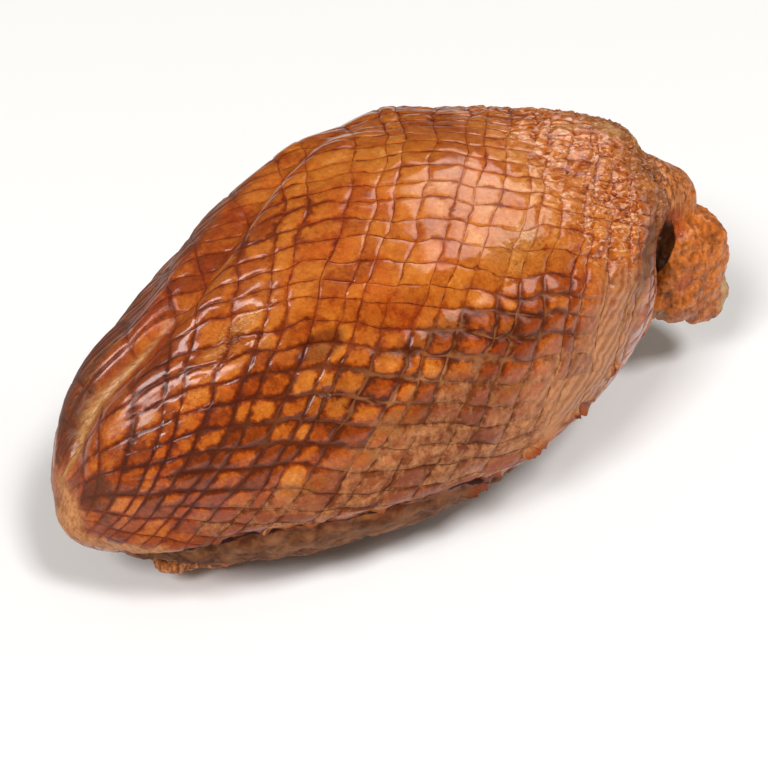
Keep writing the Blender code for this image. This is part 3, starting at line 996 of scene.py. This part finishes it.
@dataclass(frozen=True)
class BareMeat:
    """Rough smoked meat that no skin covers, with pale gristle, and painted shade in its hollows and where it
    meets the skin.
    """

    name: str = "bare_meat"
    tones: tuple[tuple[float, Colour], ...] = (
        (0.10, (0.130, 0.034, 0.008)),
        (0.48, (0.520, 0.145, 0.022)),
        (0.85, (0.680, 0.270, 0.070)),
    )
    crust: tuple[Colour, Colour] = ((0.110, 0.030, 0.008), (0.580, 0.210, 0.060))
    # Near black painted shade where the meat meets the skin.
    hollow_shade: Colour = (0.030, 0.009, 0.003)
    gristle: Colour = (0.520, 0.300, 0.120)
    olive: Colour = (0.200, 0.120, 0.045)
    raw_red: Colour = (0.380, 0.075, 0.015)
    dark_fleck: Colour = (0.52, 0.36, 0.28)
    fibre_shade: Colour = (0.55, 0.42, 0.34)
    fibres: Noise = Noise(210.0, 4.0, 0.6, 0.5, (3.0, 3.0, 0.9), 0.3)
    flecks: Noise = Noise(620.0, 4.0, 0.7)
    fleck_size: float = 0.0016
    mottle_size: float = 0.0060
    grain_height: float = 0.00025
    fibre_height: float = 0.0007

    def make(self, grain: Tree) -> Material:
        """Builds the material.

        Args:
            grain: the shared smoke grain group.

        Returns:
            The material.
        """
        on = Surface(self.name, [*SPOT_MASKS, "crevice_shade", "slot_shade"], grain, self.fleck_size, self.mottle_size)
        read, mottle, blend = on.masks, on.mottle, on.wiring.blend
        fibres, flecks = on.noise(self.fibres), on.noise(self.flecks)
        ragged = (mottle - 0.5) * 0.9
        # Darker in the torn hollows: painted shade.
        tone = 0.02 + mottle * 0.75 + fibres * 0.35 + read["crevice_shade"] * -0.34 + on.speckle * -0.12
        dark = flecks.step(0.56, 0.40, 0.0, 0.42)
        colour = on.wiring.tint(dark, on.wiring.ramp(tone, self.tones), self.dark_fleck)
        crusted = (read["crusted"] + ragged).step(0.2, 0.7, 0.0, 0.8)
        layers = [
            (flecks.step(0.58, 0.72, 0.0, 0.45), self.gristle),
            (crusted, blend(fibres.step(0.38, 0.62), *self.crust)),
        ]
        for name, paint in (("raw_red", self.raw_red), ("gristle", self.gristle), ("olive", self.olive)):
            share = (read[name] + ragged).step(0.3, 0.7, 0.0, 0.85) * read[name].step(0.02, 0.2)
            layers.append((share, on.wiring.tint(fibres.step(0.60, 0.36, 0.0, 0.7), paint, self.fibre_shade)))
        # Painted shade where the meat meets the skin.
        layers.append(((read["slot_shade"] + ragged * 0.6).step(0.35, 0.85, 0.0, 0.95), self.hollow_shade))
        results = {
            "Base Color": on.painted(colour, layers),
            "Roughness": 0.42 + mottle * 0.25,
            "Coat Weight": fibres.step(0.40, 0.65, 0.10, 0.60),
            "Coat Roughness": 0.22,
            "Subsurface Weight": 0.10,
            "Subsurface Scale": 0.004,
        }
        return on.finish(results, on.grain * self.grain_height + fibres * self.fibre_height, 0.9)


# ------------------------------------- Bare meat -------------------------------------


@dataclass(frozen=True)
class Blob:
    """A squarish ball of meat: its centre, half sizes, lean about Y in degrees and how square it is."""

    centre: tuple[float, float, float]
    half_size: tuple[float, float, float]
    lean: float
    squareness: float

    def gap(self, points: Array) -> Array:
        """Roughly how far points lie outside the blob, in metres."""
        lean = np.radians(self.lean)
        x, y, z = np.moveaxis(points - np.array(self.centre), -1, 0)
        local = np.stack([x * np.cos(lean) - z * np.sin(lean), y, x * np.sin(lean) + z * np.cos(lean)], -1)
        size = np.array(self.half_size)
        reach = (np.abs(local / size) ** self.squareness).sum(-1) ** (1 / self.squareness)
        return (reach - 1) * size.min()


@dataclass(frozen=True)
class Spot:
    """A ball of space in which meat takes another colour."""

    mask: str
    centre: tuple[float, float, float]
    radius: float


@dataclass(frozen=True)
class BareLump:
    """A piece of rough meat: blobs that run together round a hub."""

    name: str
    hub: tuple[float, float, float]
    blobs: tuple[Blob, ...]
    blend: float
    roughness: float
    seed: int
    spots: tuple[Spot, ...] = ()
    detail: int = 6
    coarse_grain: float = 0.011
    fine_depth: float = 0.0011

    def gap(self, points: Array) -> Array:
        """Roughly how far points on the body's axes lie outside the lump, in metres."""
        near = sum(np.exp(-np.clip(blob.gap(points) / self.blend, -200, 200)) for blob in self.blobs)
        return -self.blend * np.log(near)

    def reach(self, ways: Array) -> Array:
        """How far from its hub the meat reaches each way."""
        radii = np.linspace(0.002, 0.05, 97)
        gaps = np.zeros((len(ways), radii.size))
        points = np.array(self.hub) + ways[:, None, :] * radii[:, None]
        for blob in self.blobs:
            gaps += np.exp(-blob.gap(points) / self.blend)
        inside = gaps > 1
        last = radii.size - 1 - inside[:, ::-1].argmax(1)
        rows = np.arange(len(ways))
        here, there = np.log(gaps[rows, last]), np.log(gaps[rows, np.minimum(last + 1, radii.size - 1)])
        return radii[last] + (radii[1] - radii[0]) * here / (here - there)

    @staticmethod
    def skin_gap(points: Array) -> Array:
        """How far points lie outside the body's skin, in metres."""
        form = BreastForm()
        half_length = (form.shoulder_x - form.tail_x) / 2
        middle = (form.shoulder_x + form.tail_x) / 2
        station = np.arccos(np.clip((middle - points[:, 0]) / half_length, -0.9999, 0.9999))
        across = (form.side_shift.at(station) - points[:, 1]) / form.half_width.at(station)
        above = points[:, 2] - form.spine_height.at(station)
        up = above / np.where(above > 0, form.rise.at(station), form.drop.at(station))
        skin = form.base(station, np.arctan2(up, across))
        inward = np.hypot(across, up) < np.sin(station)
        return np.where(inward, -1, 1) * np.linalg.norm(points - skin, axis=1)

    def raised(self) -> Object:
        """The lump's mesh with its coarse roughness and its colour masks."""
        ball = bmesh.new()
        bmesh.ops.create_icosphere(ball, subdivisions=self.detail, radius=1)
        ways = np.array([v.co.normalized() for v in ball.verts])
        faces = [[v.index for v in face.verts] for face in ball.faces]
        ball.free()
        shift = Vector((7.3, 3.1, 5.7)) * self.seed
        places = np.array(self.hub) + ways * self.reach(ways)[:, None]
        rough = np.array([noise.fractal(Vector(p) / self.coarse_grain + shift, 0.9, 2.1, 3) for p in places])
        points = places + ways * (self.roughness * rough)[:, None]
        points[:, 2] = np.maximum(points[:, 2], 0)
        masks = {label: np.zeros(len(points)) for label in SPOT_MASKS}
        for spot in self.spots:
            gap = np.linalg.norm(points - np.array(spot.centre), axis=1) / spot.radius
            masks[spot.mask] = np.maximum(masks[spot.mask], np.exp(-(gap**3)))
        high, low = points[:, 2] - 0.090, points[:, 2] - 0.028
        beside = (1 - ease(high, -0.006, 0.004)) * ease(low, -0.006, 0.004)
        # The meat beside the skin, where painted shade darkens it.
        masks["slot_shade"] = (1 - ease(self.skin_gap(points), 0.0, 0.0020)) * beside
        return mesh_object(self.name, points + FOOTPRINT_SHIFT, faces, masks)

    def build(self, tree: Tree, finish: Material) -> Object:
        """Builds and dresses the lump.

        Args:
            tree: the geometry tree that tears its face.
            finish: its material.

        Returns:
            The lump's object.
        """
        body = self.raised()
        settle(body, tree, {"Tear Depth": self.fine_depth, "Material": finish})
        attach(body, "root")
        return body


ROUGH_TEAR = Noise(190.0, 5.0, 0.62, 0.4)
FIBRES = Noise(150.0, 3.0, 0.55, 0.5, (2.6, 2.6, 0.9), 0.3)


def torn_meat_tree() -> Tree:
    """The geometry tree that gives bare meat its torn, fibrous face."""
    inputs = {"Geometry": "Geometry", "Tear Depth": "Float", "Material": "Material"}
    wiring, entry, exit_node = new_group("torn_meat", "Geometry", inputs, {"Geometry": "Geometry"})
    place = wiring.wire("GeometryNodeInputPosition")
    rough, fibres = (wiring.noise(place, look) for look in (ROUGH_TEAR, FIBRES))
    # The torn hollows, which sink the surface and which the finish darkens as painted shade.
    hollow_shade = (rough * 0.6 + fibres * 0.4).step(0.60, 0.36)
    wiring.lower(entry, exit_node, hollow_shade * Wire(wiring, entry.outputs["Tear Depth"]), hollow_shade, table=False)
    return wiring.tree


SHOULDER_JOINT = BareLump(
    name="shoulder_joint",
    fine_depth=0.0008,
    hub=(0.1410, -0.0250, 0.0660),
    blobs=(
        Blob((0.1430, -0.0260, 0.0620), (0.0185, 0.0150, 0.0240), -4, 3.2),
        Blob((0.1535, -0.0260, 0.0415), (0.0110, 0.0120, 0.0110), 12, 2.8),
        Blob((0.1345, -0.0150, 0.0955), (0.0180, 0.0150, 0.0125), 38, 2.4),
        Blob((0.1260, -0.0180, 0.0740), (0.0150, 0.0120, 0.0140), 0, 2.2),
        Blob((0.1220, -0.0260, 0.0500), (0.0200, 0.0100, 0.0065), 8, 2.2),
    ),
    blend=0.0016,
    roughness=0.0022,
    seed=0,
    spots=(
        Spot("gristle", (0.1620, -0.0330, 0.0560), 0.0110),
        Spot("gristle", (0.1600, -0.0340, 0.0420), 0.0070),
        Spot("olive", (0.1660, -0.0330, 0.0480), 0.0035),
        Spot("olive", (0.1220, -0.0330, 0.0430), 0.0090),
        Spot("crusted", (0.1290, -0.0150, 0.0980), 0.0190),
        Spot("raw_red", (0.1310, -0.0300, 0.0880), 0.0080),
        Spot("raw_red", (0.1330, -0.0400, 0.0640), 0.0050),
    ),
)
SHOULDER_FOLD = BareLump(
    name="shoulder_fold",
    hub=(0.1050, -0.0290, 0.0460),
    blobs=(Blob((0.1050, -0.0290, 0.0460), (0.0200, 0.0140, 0.0090), -30, 2.2),),
    blend=0.001,
    roughness=0.0015,
    seed=1,
    spots=(Spot("raw_red", (0.1000, -0.0400, 0.0440), 0.0160),),
    detail=5,
    fine_depth=0.0008,
)
BELLY_SCRAP = BareLump(
    name="belly_scrap",
    hub=(-0.0880, -0.0220, 0.0155),
    blobs=(
        Blob((-0.0960, -0.0190, 0.0155), (0.0120, 0.0100, 0.0055), 4, 2.4),
        Blob((-0.0780, -0.0250, 0.0145), (0.0120, 0.0090, 0.0060), 0, 2.4),
    ),
    blend=0.001,
    roughness=0.0016,
    seed=2,
    spots=(
        Spot("crusted", (-0.0880, -0.0260, 0.0155), 0.0220),
        Spot("raw_red", (-0.0780, -0.0320, 0.0150), 0.0070),
    ),
    detail=5,
)


# ------------------------------------- The netted skin -------------------------------------


@dataclass(frozen=True)
class NettedSkin:
    """The whole skin as one closed mesh that follows the net, fine enough to hold its relief."""

    form: BreastForm = BreastForm()
    net: Net = Net()
    joint: BareLump = SHOULDER_JOINT
    lip_depth: float = 0.0011
    lip_width: float = 0.0026
    slot_depth: float = 0.0035
    slot_width: float = 0.0035
    strand_steps: tuple[float, ...] = (0.0, 0.06, 0.16, 0.32, 0.5, 0.68, 0.84, 0.94)
    hoop_steps: tuple[float, ...] = (0.0, 0.07, 0.20, 0.40, 0.60, 0.80, 0.93)
    lip_offset: float = 0.0022
    half_length: float = 0.137
    half_width: float = 0.075
    keel_offset: float = 0.0012
    keel_width: float = 0.0009
    keel_flare: float = 0.0021
    seam_offset: float = 0.0010
    seam_width: float = 0.0007
    seam_swell: float = 0.0008
    slot_heights: tuple[tuple[float, float], ...] = ((0.022, 0.036), (0.082, 0.092))
    slow_stray: tuple[float, float] = (0.0005, 0.024)
    quick_stray: tuple[float, float] = (0.0003, 0.008)
    pillow_height: float = 0.0010
    pillow_squareness: float = 2.6
    groove_depth: float = 0.00042
    groove_width: float = 0.0014
    wrinkle_depth: float = 0.0009
    crumple_height: float = 0.0028
    crumple_size: float = 0.0038
    crag_height: float = 0.0030
    ridge_height: float = 0.0006
    tear_depth: float = 0.0024
    bit_height: float = 0.0026
    bit_size: float = 0.0045
    tone_seed: int = 3
    wander: Noise = Noise(210.0)
    groove_gaps: Noise = Noise(70.0)
    bubble_warp: Noise = Noise(120.0)
    crinkle: Noise = Noise(190.0, 3.0, 0.55, 0.4, (0.6, 1.9, 1.5), 0.3)
    coarse_crag: Noise = Noise(130.0, 6.0, 0.62)
    fine_crag: Noise = Noise(330.0, 4.0, 0.65, 0.6, (0.8, 1.5, 1.3), 0.4)
    wrinkle: Noise = Noise(230.0, 3.0, 0.55, 0.6, (1.0, 2.4, 1.4), 0.5)
    tear: Noise = Noise(95.0, 5.0, 0.6)
    ridge_gaps: Noise = Noise(80.0)
    groove_losses: Shares = (
        ("bare", 0.9), ("craggy", 1.0), ("tail", 1.0), ("keel_fat", 1.0), ("gold", 0.5), ("deep", 0.35),
    )

    @staticmethod
    def between(lines: Array, steps: tuple[float, ...]) -> tuple[Array, Array]:
        """Places between the net's lines.

        Args:
            lines: the lines' places.
            steps: the places between two lines, as shares of the gap.

        Returns:
            Each place and its share of its own gap. The last line isn't in them.
        """
        share = np.tile(steps, len(lines) - 1)
        return np.repeat(lines[:-1], len(steps)) + share * np.repeat(np.diff(lines), len(steps)), share

    @staticmethod
    def doubled(station: Array) -> Array:
        """How far every second strand is missing: wholly near the tail, where cells would be too narrow."""
        return 1 - past(station, 28, 42)

    def stray(self, place: Array, seed: int) -> Array:
        """How far the net's lines stray from their course, in metres."""
        parts = ((self.slow_stray, seed), (self.quick_stray, seed + 1))
        return sum(size * wobble(place, wave, part_seed) for (size, wave), part_seed in parts)

    def pillow(
        self,
        station: Array,
        angle: Array,
        across: Array,
        from_even: Array,
        along: Array,
        masks: dict[str, Array],
    ) -> tuple[Array, Array]:
        """How the skin stands between the net's lines.

        Args:
            station: station angles, in radians.
            angle: angles round the body, in radians.
            across: the place between two strands, from 0 to 1.
            from_even: the place from an even strand to an odd one, from 0 to 1.
            along: the place between two hoops, from 0 to 1.
            masks: the areas' masks, by name.

        Returns:
            The dome's share, from 0 at the lines to 1 in the middle, and the lift in metres.
        """
        power, doubled, level = self.pillow_squareness, self.doubled(station), np.degrees(turned(angle))
        one, pair = 1 - np.abs(2 * across - 1) ** power, 1 - (1 - from_even) ** power
        arch = (1 - doubled) * one + doubled * pair
        dome = arch * (1 - np.abs(2 * along - 1) ** power)
        fuller, flatter = np.exp(-(((level - 28) / 22) ** 2)), np.exp(-(((level - 85) / 30) ** 2))
        bare = 1 / (1 + np.exp((station - np.radians(152)) / np.radians(4)))
        height = self.pillow_height * (1 + 0.6 * fuller - 0.35 * flatter) * np.sin(station) ** 1.3 * bare
        kernels = masks["kernels"]
        flat = (1 - 0.75 * masks["gold"] * (1 - kernels)) * (0.6 + 0.8 * kernels)
        flat = flat * (1 - 0.4 * masks["pale"]) * (1 - 0.7 * masks["craggy"]) * (1 - 0.3 * masks["crumpled"])
        flat = flat * (1 - 0.4 * masks["deep"] * (1 - kernels)) * past(station, 14, 36)
        return dome, height * dome * flat

    def zones(self, station: Array, angle: Array) -> dict[str, Array]:
        """The masks of the skin's areas, by name."""
        masks = {}
        for zone, patches in PATCHES.items():
            left = 1.0
            for patch in patches:
                left = left * (1 - patch.mask(station, angle))
            masks[zone.value] = 1 - left
        half_width = self.form.half_width.at(station)
        keel = np.abs(KEEL.aside(station, angle, half_width) - self.keel_offset)
        keel_width = self.keel_width + self.keel_flare * np.exp(-(((np.degrees(station) - 30) / 10) ** 2))
        keel_fat = np.exp(-((keel / keel_width) ** 2)) * (1 - past(station, 40, 58))
        streaks = [patch.mask(station, angle) for patch in CREAM_STREAKS]
        masks[Zone.KEEL_FAT.value] = np.maximum.reduce([keel_fat, *streaks])
        # The seam's crease, where painted shade darkens the skin.
        seam = NEAR_SEAM.aside(station, angle, half_width) + self.seam_offset
        seam_width = self.seam_width + self.seam_swell * (1 + np.sin(17 * station)) / 2
        masks[Zone.SEAM.value] = np.exp(-((seam / seam_width) ** 2)) * NEAR_SEAM.window(station)
        level, soft_edge = turned(angle), 0.07
        below_near = ease(NEAR_SEAM.path(station) - level, 0.0, soft_edge)
        below_far = ease(level - FAR_SEAM.path(station) + 2 * np.pi, 0.0, soft_edge)
        under = below_near * below_far * past(station, 22, 32)
        masks[Zone.BARE.value] = np.maximum(under, BARE_STRIP.mask(station, angle))
        return masks

    def raised(self) -> Object:
        """Builds the skin's mesh with everything that its relief and its finish read."""
        hoop_lines = self.net.hoop_lines()
        hoops, along = self.between(hoop_lines, self.hoop_steps)
        hoops, along = np.append(hoops, hoop_lines[-1]), np.append(along, 0.0)
        strands, across = self.between(self.net.strand_lines(), self.strand_steps)
        hoop_grid, strand_grid = np.meshgrid(hoops, strands, indexing="ij")
        along, across = np.meshgrid(along, across, indexing="ij")
        station, angle = self.net.crossing(hoop_grid, strand_grid)
        place = self.form.base(station, angle)
        calm = np.sin(station)
        station = station + self.stray(place, 1) / self.half_length * calm
        angle = angle + self.stray(place, 3) / self.half_width * calm
        base, masks = self.form.base(station, angle), self.zones(station, angle)

        column_of = np.arange(len(strands)) // len(self.strand_steps)
        row_of = np.minimum(np.arange(len(hoops)) // len(self.hoop_steps), self.net.hoops - 1)
        from_even = np.where(column_of % 2 == 0, across, 1 - across)
        masks["dome"], lift = self.pillow(station, angle, across, from_even, along, masks)
        draw = np.random.default_rng(self.tone_seed)
        tones = draw.random((self.net.hoops, self.net.strands))
        lift = lift * (0.45 + 0.9 * draw.random(tones.shape)[row_of[:, None], column_of])
        lift = lift + self.bit_height * masks["ragged"] * (0.6 + 0.6 * wobble(place, self.bit_size, 9))
        for pit in PITS:
            hole = self.form.base(np.radians(pit.station), np.radians(pit.angle))
            gap = np.linalg.norm(base - hole, axis=-1)
            lift = lift - pit.depth * np.exp(-((gap / pit.radius) ** 4))
        lip = NEAR_SEAM.aside(station, angle, self.form.half_width.at(station)) - self.lip_offset
        ragged = 0.7 * wobble(base, 0.0052, 7) + 0.5 * wobble(base, 0.0110, 8)
        torn = self.lip_depth * ragged * np.exp(-((lip / self.lip_width) ** 2))
        lift = lift + torn * NEAR_SEAM.window(station)
        joint_gap, (foot, top) = self.joint.gap(base), self.slot_heights
        beside = ease(base[..., 2], *foot) * (1 - ease(base[..., 2], *top))
        lift = lift - self.slot_depth * np.exp(-((np.maximum(joint_gap, 0) / self.slot_width) ** 2)) * beside

        step = 1e-3
        per_strand = self.form.base(*self.net.crossing(hoop_grid, strand_grid + step)) - base
        per_hoop = self.form.base(*self.net.crossing(hoop_grid + step, strand_grid)) - base
        strand_gap = np.linalg.norm(per_strand, axis=-1) / step / self.net.strands
        hoop_gap = np.linalg.norm(per_hoop, axis=-1) / step / self.net.hoops
        past_missing = (1 - from_even) * strand_gap + 0.004 * self.doubled(station)
        masks["to_strand"] = np.minimum(from_even * strand_gap, past_missing)
        masks["to_hoop"] = np.minimum(along, 1 - along) * hoop_gap
        masks["calm"] = np.sin(station)
        masks["net_fade"] = past(station, 12, 32) * (1 - past(station, 150, 160))
        # The skin beside the joint, where painted shade darkens it.
        masks["slot_shade"] = (1 - ease(joint_gap, 0.0, 0.0016)) * beside
        slanted = 0.00123 * np.degrees(station) - 0.00098 * np.degrees(turned(angle))
        masks["ridge_phase"] = slanted + 0.0007 * wobble(place, 0.020, 6)
        return self.wrapped(self.form.skin(station, angle, lift), masks, tones, station)

    def wrapped(self, points: Array, masks: dict[str, Array], tones: Array, station: Array) -> Object:
        """Closes the grid of points round the body and over its two tips.

        Args:
            points: the grid's points, by row and column.
            masks: the grid's masks, by name.
            tones: a random tone for each of the net's cells.
            station: the points' station angles, in radians.

        Returns:
            The skin's object.
        """
        rows, columns = station.shape
        poles = np.array([0.001, math.pi - 0.001])
        tips = self.form.skin(poles, np.zeros(2), np.zeros(2))
        first, last = rows * columns, rows * columns + 1
        number = np.arange(rows * columns).reshape(rows, columns)
        following = np.roll(number, -1, axis=1)
        quads = np.stack([number[:-1], following[:-1], following[1:], number[1:]], -1).reshape(-1, 4)
        caps = [(following[0, j], number[0, j], first) for j in range(columns)]
        caps += [(number[-1, j], following[-1, j], last) for j in range(columns)]
        every = {
            name: np.append(mask.ravel(), (mask[0].mean(), mask[-1].mean()))
            for name, mask in masks.items()
        }
        corners = np.concatenate([points.reshape(-1, 3), tips])
        body = mesh_object("netted_skin", corners, [*quads, *caps], every)
        mesh = bmesh.new()
        mesh.from_mesh(body.data)
        bmesh.ops.recalc_face_normals(mesh, faces=mesh.faces)
        mesh.to_mesh(body.data)
        mesh.free()

        row = np.repeat(np.arange(rows - 1) // len(self.hoop_steps), columns)
        column = np.tile(np.arange(columns) // len(self.strand_steps), rows - 1)
        column = column - (column % 2) * (self.doubled(station[:-1]).ravel() > 0.5)
        cell = np.concatenate([tones[row, column], np.full(len(caps), 0.5)])
        made = body.data.attributes.new("cell_tone", "FLOAT", "FACE")
        made.data.foreach_set("value", cell.astype(np.float32))
        return body

    def sizes(self) -> dict[str, float]:
        """The relief's sizes in metres, by the names of the geometry tree's inputs."""
        names = ("groove_depth", "groove_width", "wrinkle_depth", "crumple_height", "crumple_size")
        names += ("crag_height", "ridge_height", "tear_depth")
        return {name.replace("_", " ").title(): getattr(self, name) for name in names}

    def relief_tree(self) -> Tree:
        """The geometry tree that presses the net's lines, crumples, crags and ridges into the skin."""
        inputs = {"Geometry": "Geometry", **dict.fromkeys(self.sizes(), "Float"), "Material": "Material"}
        wiring, entry, exit_node = new_group("net_relief", "Geometry", inputs, {"Geometry": "Geometry"})
        size = {label: Wire(wiring, entry.outputs[label]) for label in self.sizes()}
        names = [name for name, _ in self.groove_losses]
        names += ["crumpled", "ridged", "wrinkled", "to_strand", "to_hoop", "calm", "net_fade", "ridge_phase"]
        kind = "GeometryNodeInputNamedAttribute"
        read = {name: wiring.wire(kind, {"Name": name}, data_type="FLOAT") for name in names}
        place = wiring.wire("GeometryNodeInputPosition")

        wander = (wiring.noise(place, self.wander) - 0.5) * 0.0006
        strand_gap = read["to_strand"] + wander + read["ridged"] * 0.004
        nearest = wiring.math("MINIMUM", strand_gap, read["to_hoop"] - wander)
        groove = nearest.step(0.0, size["Groove Width"], 1.0, 0.0) * read["net_fade"]
        groove = groove * wiring.noise(place, self.groove_gaps).step(0.3, 0.6, 0.45, 1.0)
        groove = groove.without(read, self.groove_losses)

        warp = wiring.noise(place, self.bubble_warp, "Color")
        shift = wiring.vector("MULTIPLY", warp, (0.008, 0.008, 0.008))
        warped = wiring.vector("ADD", place, shift)
        bubble = {"Vector": warped, "Scale": 1.0 / size["Crumple Size"], "Smoothness": 0.35}
        bubbles = wiring.wire("ShaderNodeTexVoronoi", bubble, "Distance", feature="SMOOTH_F1")
        crinkle = wiring.noise(warped, self.crinkle)
        crease = abs(crinkle - 0.5).step(0.0, 0.06, 1.0, 0.0)
        tilt = crinkle.step(0.70, 0.30) * 0.45 + crease * 0.30
        creases = (bubbles.step(0.12, 0.66) * 0.25 + tilt) * read["crumpled"]
        rough, finer = wiring.noise(place, self.coarse_crag), wiring.noise(place, self.fine_crag)
        crags = (rough.step(0.66, 0.30) * 0.55 + finer.step(0.60, 0.36) * 0.45) * read["craggy"]
        wrinkles = wiring.noise(place, self.wrinkle).step(0.65, 0.40) * (read["wrinkled"] * 0.8 + 0.16)
        flesh = wiring.noise(place, self.tear).step(0.62, 0.34) * read["bare"]
        crest = wiring.ridges(read["ridge_phase"], place).step(0.6, -0.6)
        crest = crest * wiring.noise(place, self.ridge_gaps).step(0.35, 0.60, 0.25, 1.0) * read["ridged"]

        drop = groove * size["Groove Depth"] + creases * size["Crumple Height"] + crags * size["Crag Height"]
        drop = drop + wrinkles * size["Wrinkle Depth"] + flesh * size["Tear Depth"]
        drop = drop + crest * size["Ridge Height"]
        # The crumpled skin's creases and dents, which the finish darkens as painted shade.
        dark = (crease * 0.8 + bubbles.step(0.30, 0.66) * 0.4) * read["crumpled"]
        hollow_shade = (groove * 0.6).most(dark.most(crags)).most(flesh * 0.8)
        wiring.lower(entry, exit_node, drop * read["calm"].step(0.0, 0.35), hollow_shade, table=True)
        return wiring.tree

    def build(self, finish: Material) -> Object:
        """Builds and dresses the skin.

        Args:
            finish: its material.

        Returns:
            The skin's object.
        """
        body = self.raised()
        settle(body, self.relief_tree(), {**self.sizes(), "Material": finish})
        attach(body, "root")
        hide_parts("smoked_turkey_breast")
        return body


# ------------------------------------- The studio -------------------------------------


class Reaches(Enum):
    """What a lamp's light is seen in."""

    SURFACES = "surfaces"
    REFLECTIONS = "reflections"


@dataclass(frozen=True)
class Softbox:
    """A soft rectangular lamp that looks at the object."""

    name: str
    way: tuple[float, float, float]
    distance: float
    width: float
    depth: float
    brightness: float
    reaches: Reaches
    tint: Colour = (1.0, 1.0, 1.0)

    def build(self, target: Vector) -> Object:
        """Hangs the lamp.

        Args:
            target: the point it looks at.

        Returns:
            The lamp's object.
        """
        light = bpy.data.lights.new(self.name, "AREA")
        light.shape = "RECTANGLE"
        light.size, light.size_y = self.width, self.depth
        lit = self.reaches is Reaches.SURFACES
        spread = math.pi * self.distance**2 if lit else self.width * self.depth
        light.energy = self.brightness * math.pi * spread
        light.color = self.tint
        lamp = bpy.data.objects.new(self.name, light)
        way = Vector(self.way).normalized()
        lamp.location = target + way * self.distance
        lamp.rotation_mode = "QUATERNION"
        lamp.rotation_quaternion = way.to_track_quat("Z", "Y")
        lamp.visible_glossy = not lit
        lamp.visible_diffuse = lit
        bpy.context.scene.collection.objects.link(lamp)
        return lamp


@dataclass(frozen=True)
class Studio:
    """A plain pale floor, the camera, two key lights, a weak one from the right and two softboxes."""

    azimuth: float = -33.0
    elevation: float = 38.0
    distance: float = 0.84
    lens: float = 100.0
    sensor_width: float = 36.0
    clip: tuple[float, float] = (0.05, 50.0)
    look_at: tuple[float, float, float] = (-0.013854, 0.001651, 0.068)
    shift_pixels: tuple[float, float] = (25.0, -50.0)
    frame_pixels: float = 768.0
    floor_size: float = 12.0
    floor_colour: Colour = (0.905, 0.918, 0.948)
    sky: float = 0.19
    sky_in_gloss: float = 0.02
    sky_colour: Colour = (1.0, 0.90, 0.74)
    softboxes: tuple[Softbox, ...] = (
        Softbox("right_key", (0.02, -0.52, 0.85), 6.0, 1.2, 1.2, 0.575, Reaches.SURFACES, (1.0, 0.98, 0.95)),
        Softbox("left_key", (-0.60, -0.34, 0.73), 6.0, 1.5, 1.5, 0.66, Reaches.SURFACES, (1.0, 0.98, 0.95)),
        Softbox("fill", (0.88, -0.30, 0.37), 6.0, 2.5, 2.5, 0.13, Reaches.SURFACES, (1.0, 0.97, 0.92)),
        Softbox(
            "right_softbox", (0.57, 0.04, 0.82), 1.0, 1.06, 0.57, 4.8, Reaches.REFLECTIONS, (1.0, 0.98, 0.96)
        ),
        Softbox(
            "left_softbox", (-0.68, 0.28, 0.68), 1.0, 0.36, 0.85, 11.0, Reaches.REFLECTIONS, (0.99, 0.99, 1.0)
        ),
    )

    def build_floor(self) -> None:
        """Lays the floor."""
        side = self.floor_size / 2
        corners = np.array([(-side, -side, 0), (side, -side, 0), (side, side, 0), (-side, side, 0)], float)
        floor = mesh_object("floor", corners, [(0, 1, 2, 3)], {})
        paper = bpy.data.materials.new("paper")
        paper.use_nodes = True
        shader = paper.node_tree.nodes["Principled BSDF"]
        shader.inputs["Base Color"].default_value = (*self.floor_colour, 1)
        shader.inputs["Roughness"].default_value = 0.9
        shader.inputs["Specular IOR Level"].default_value = 0.0
        floor.data.materials.append(paper)

    def build_sky(self) -> None:
        """Fills the room with even light, dimmer in the glaze than on the surfaces."""
        world = bpy.data.worlds.new("studio")
        world.use_nodes = True
        wiring = Wiring(world.node_tree)
        background = world.node_tree.nodes["Background"]
        glossy = wiring.wire("ShaderNodeLightPath", output="Is Glossy Ray")
        wiring.feed(background.inputs["Strength"], glossy.step(0.0, 1.0, self.sky, self.sky_in_gloss))
        wiring.feed(background.inputs["Color"], self.sky_colour)
        bpy.context.scene.world = world

    def build_camera(self) -> None:
        """Sets up the camera."""
        azimuth, elevation = math.radians(self.azimuth), math.radians(self.elevation)
        level = math.cos(elevation)
        back = Vector((math.sin(azimuth) * level, -math.cos(azimuth) * level, math.sin(elevation)))
        data = bpy.data.cameras.new("camera")
        data.lens = self.lens
        data.sensor_width = self.sensor_width
        data.shift_x, data.shift_y = (pixels / self.frame_pixels for pixels in self.shift_pixels)
        data.clip_start, data.clip_end = self.clip
        camera = bpy.data.objects.new("camera", data)
        camera.location = Vector(self.look_at) + back * self.distance
        camera.rotation_mode = "QUATERNION"
        camera.rotation_quaternion = (-back).to_track_quat("-Z", "Y")
        bpy.context.scene.collection.objects.link(camera)
        bpy.context.scene.camera = camera

    def build(self) -> None:
        """Makes the floor, the light and the camera."""
        self.build_floor()
        self.build_sky()
        for softbox in self.softboxes:
            softbox.build(Vector(self.look_at))
        self.build_camera()
        bpy.context.scene.view_settings.view_transform = "Standard"
        bpy.context.scene.view_settings.look = "None"


def main() -> None:
    """Builds the object and the studio."""
    logging.basicConfig(level=logging.INFO, format="%(name)s: %(message)s")
    grain = grain_group()
    skin_finish = SmokedSkin().make(grain)
    meat_finish = BareMeat().make(grain)
    pieces = [NettedSkin().build(skin_finish)]
    tree = torn_meat_tree()
    pieces += [lump.build(tree, meat_finish) for lump in (SHOULDER_JOINT, SHOULDER_FOLD, BELLY_SCRAP)]
    Studio().build()
    for piece in pieces:
        LOG.info("%s: %d faces", piece.name, len(piece.data.polygons))


if __name__ == "__main__":
    main()
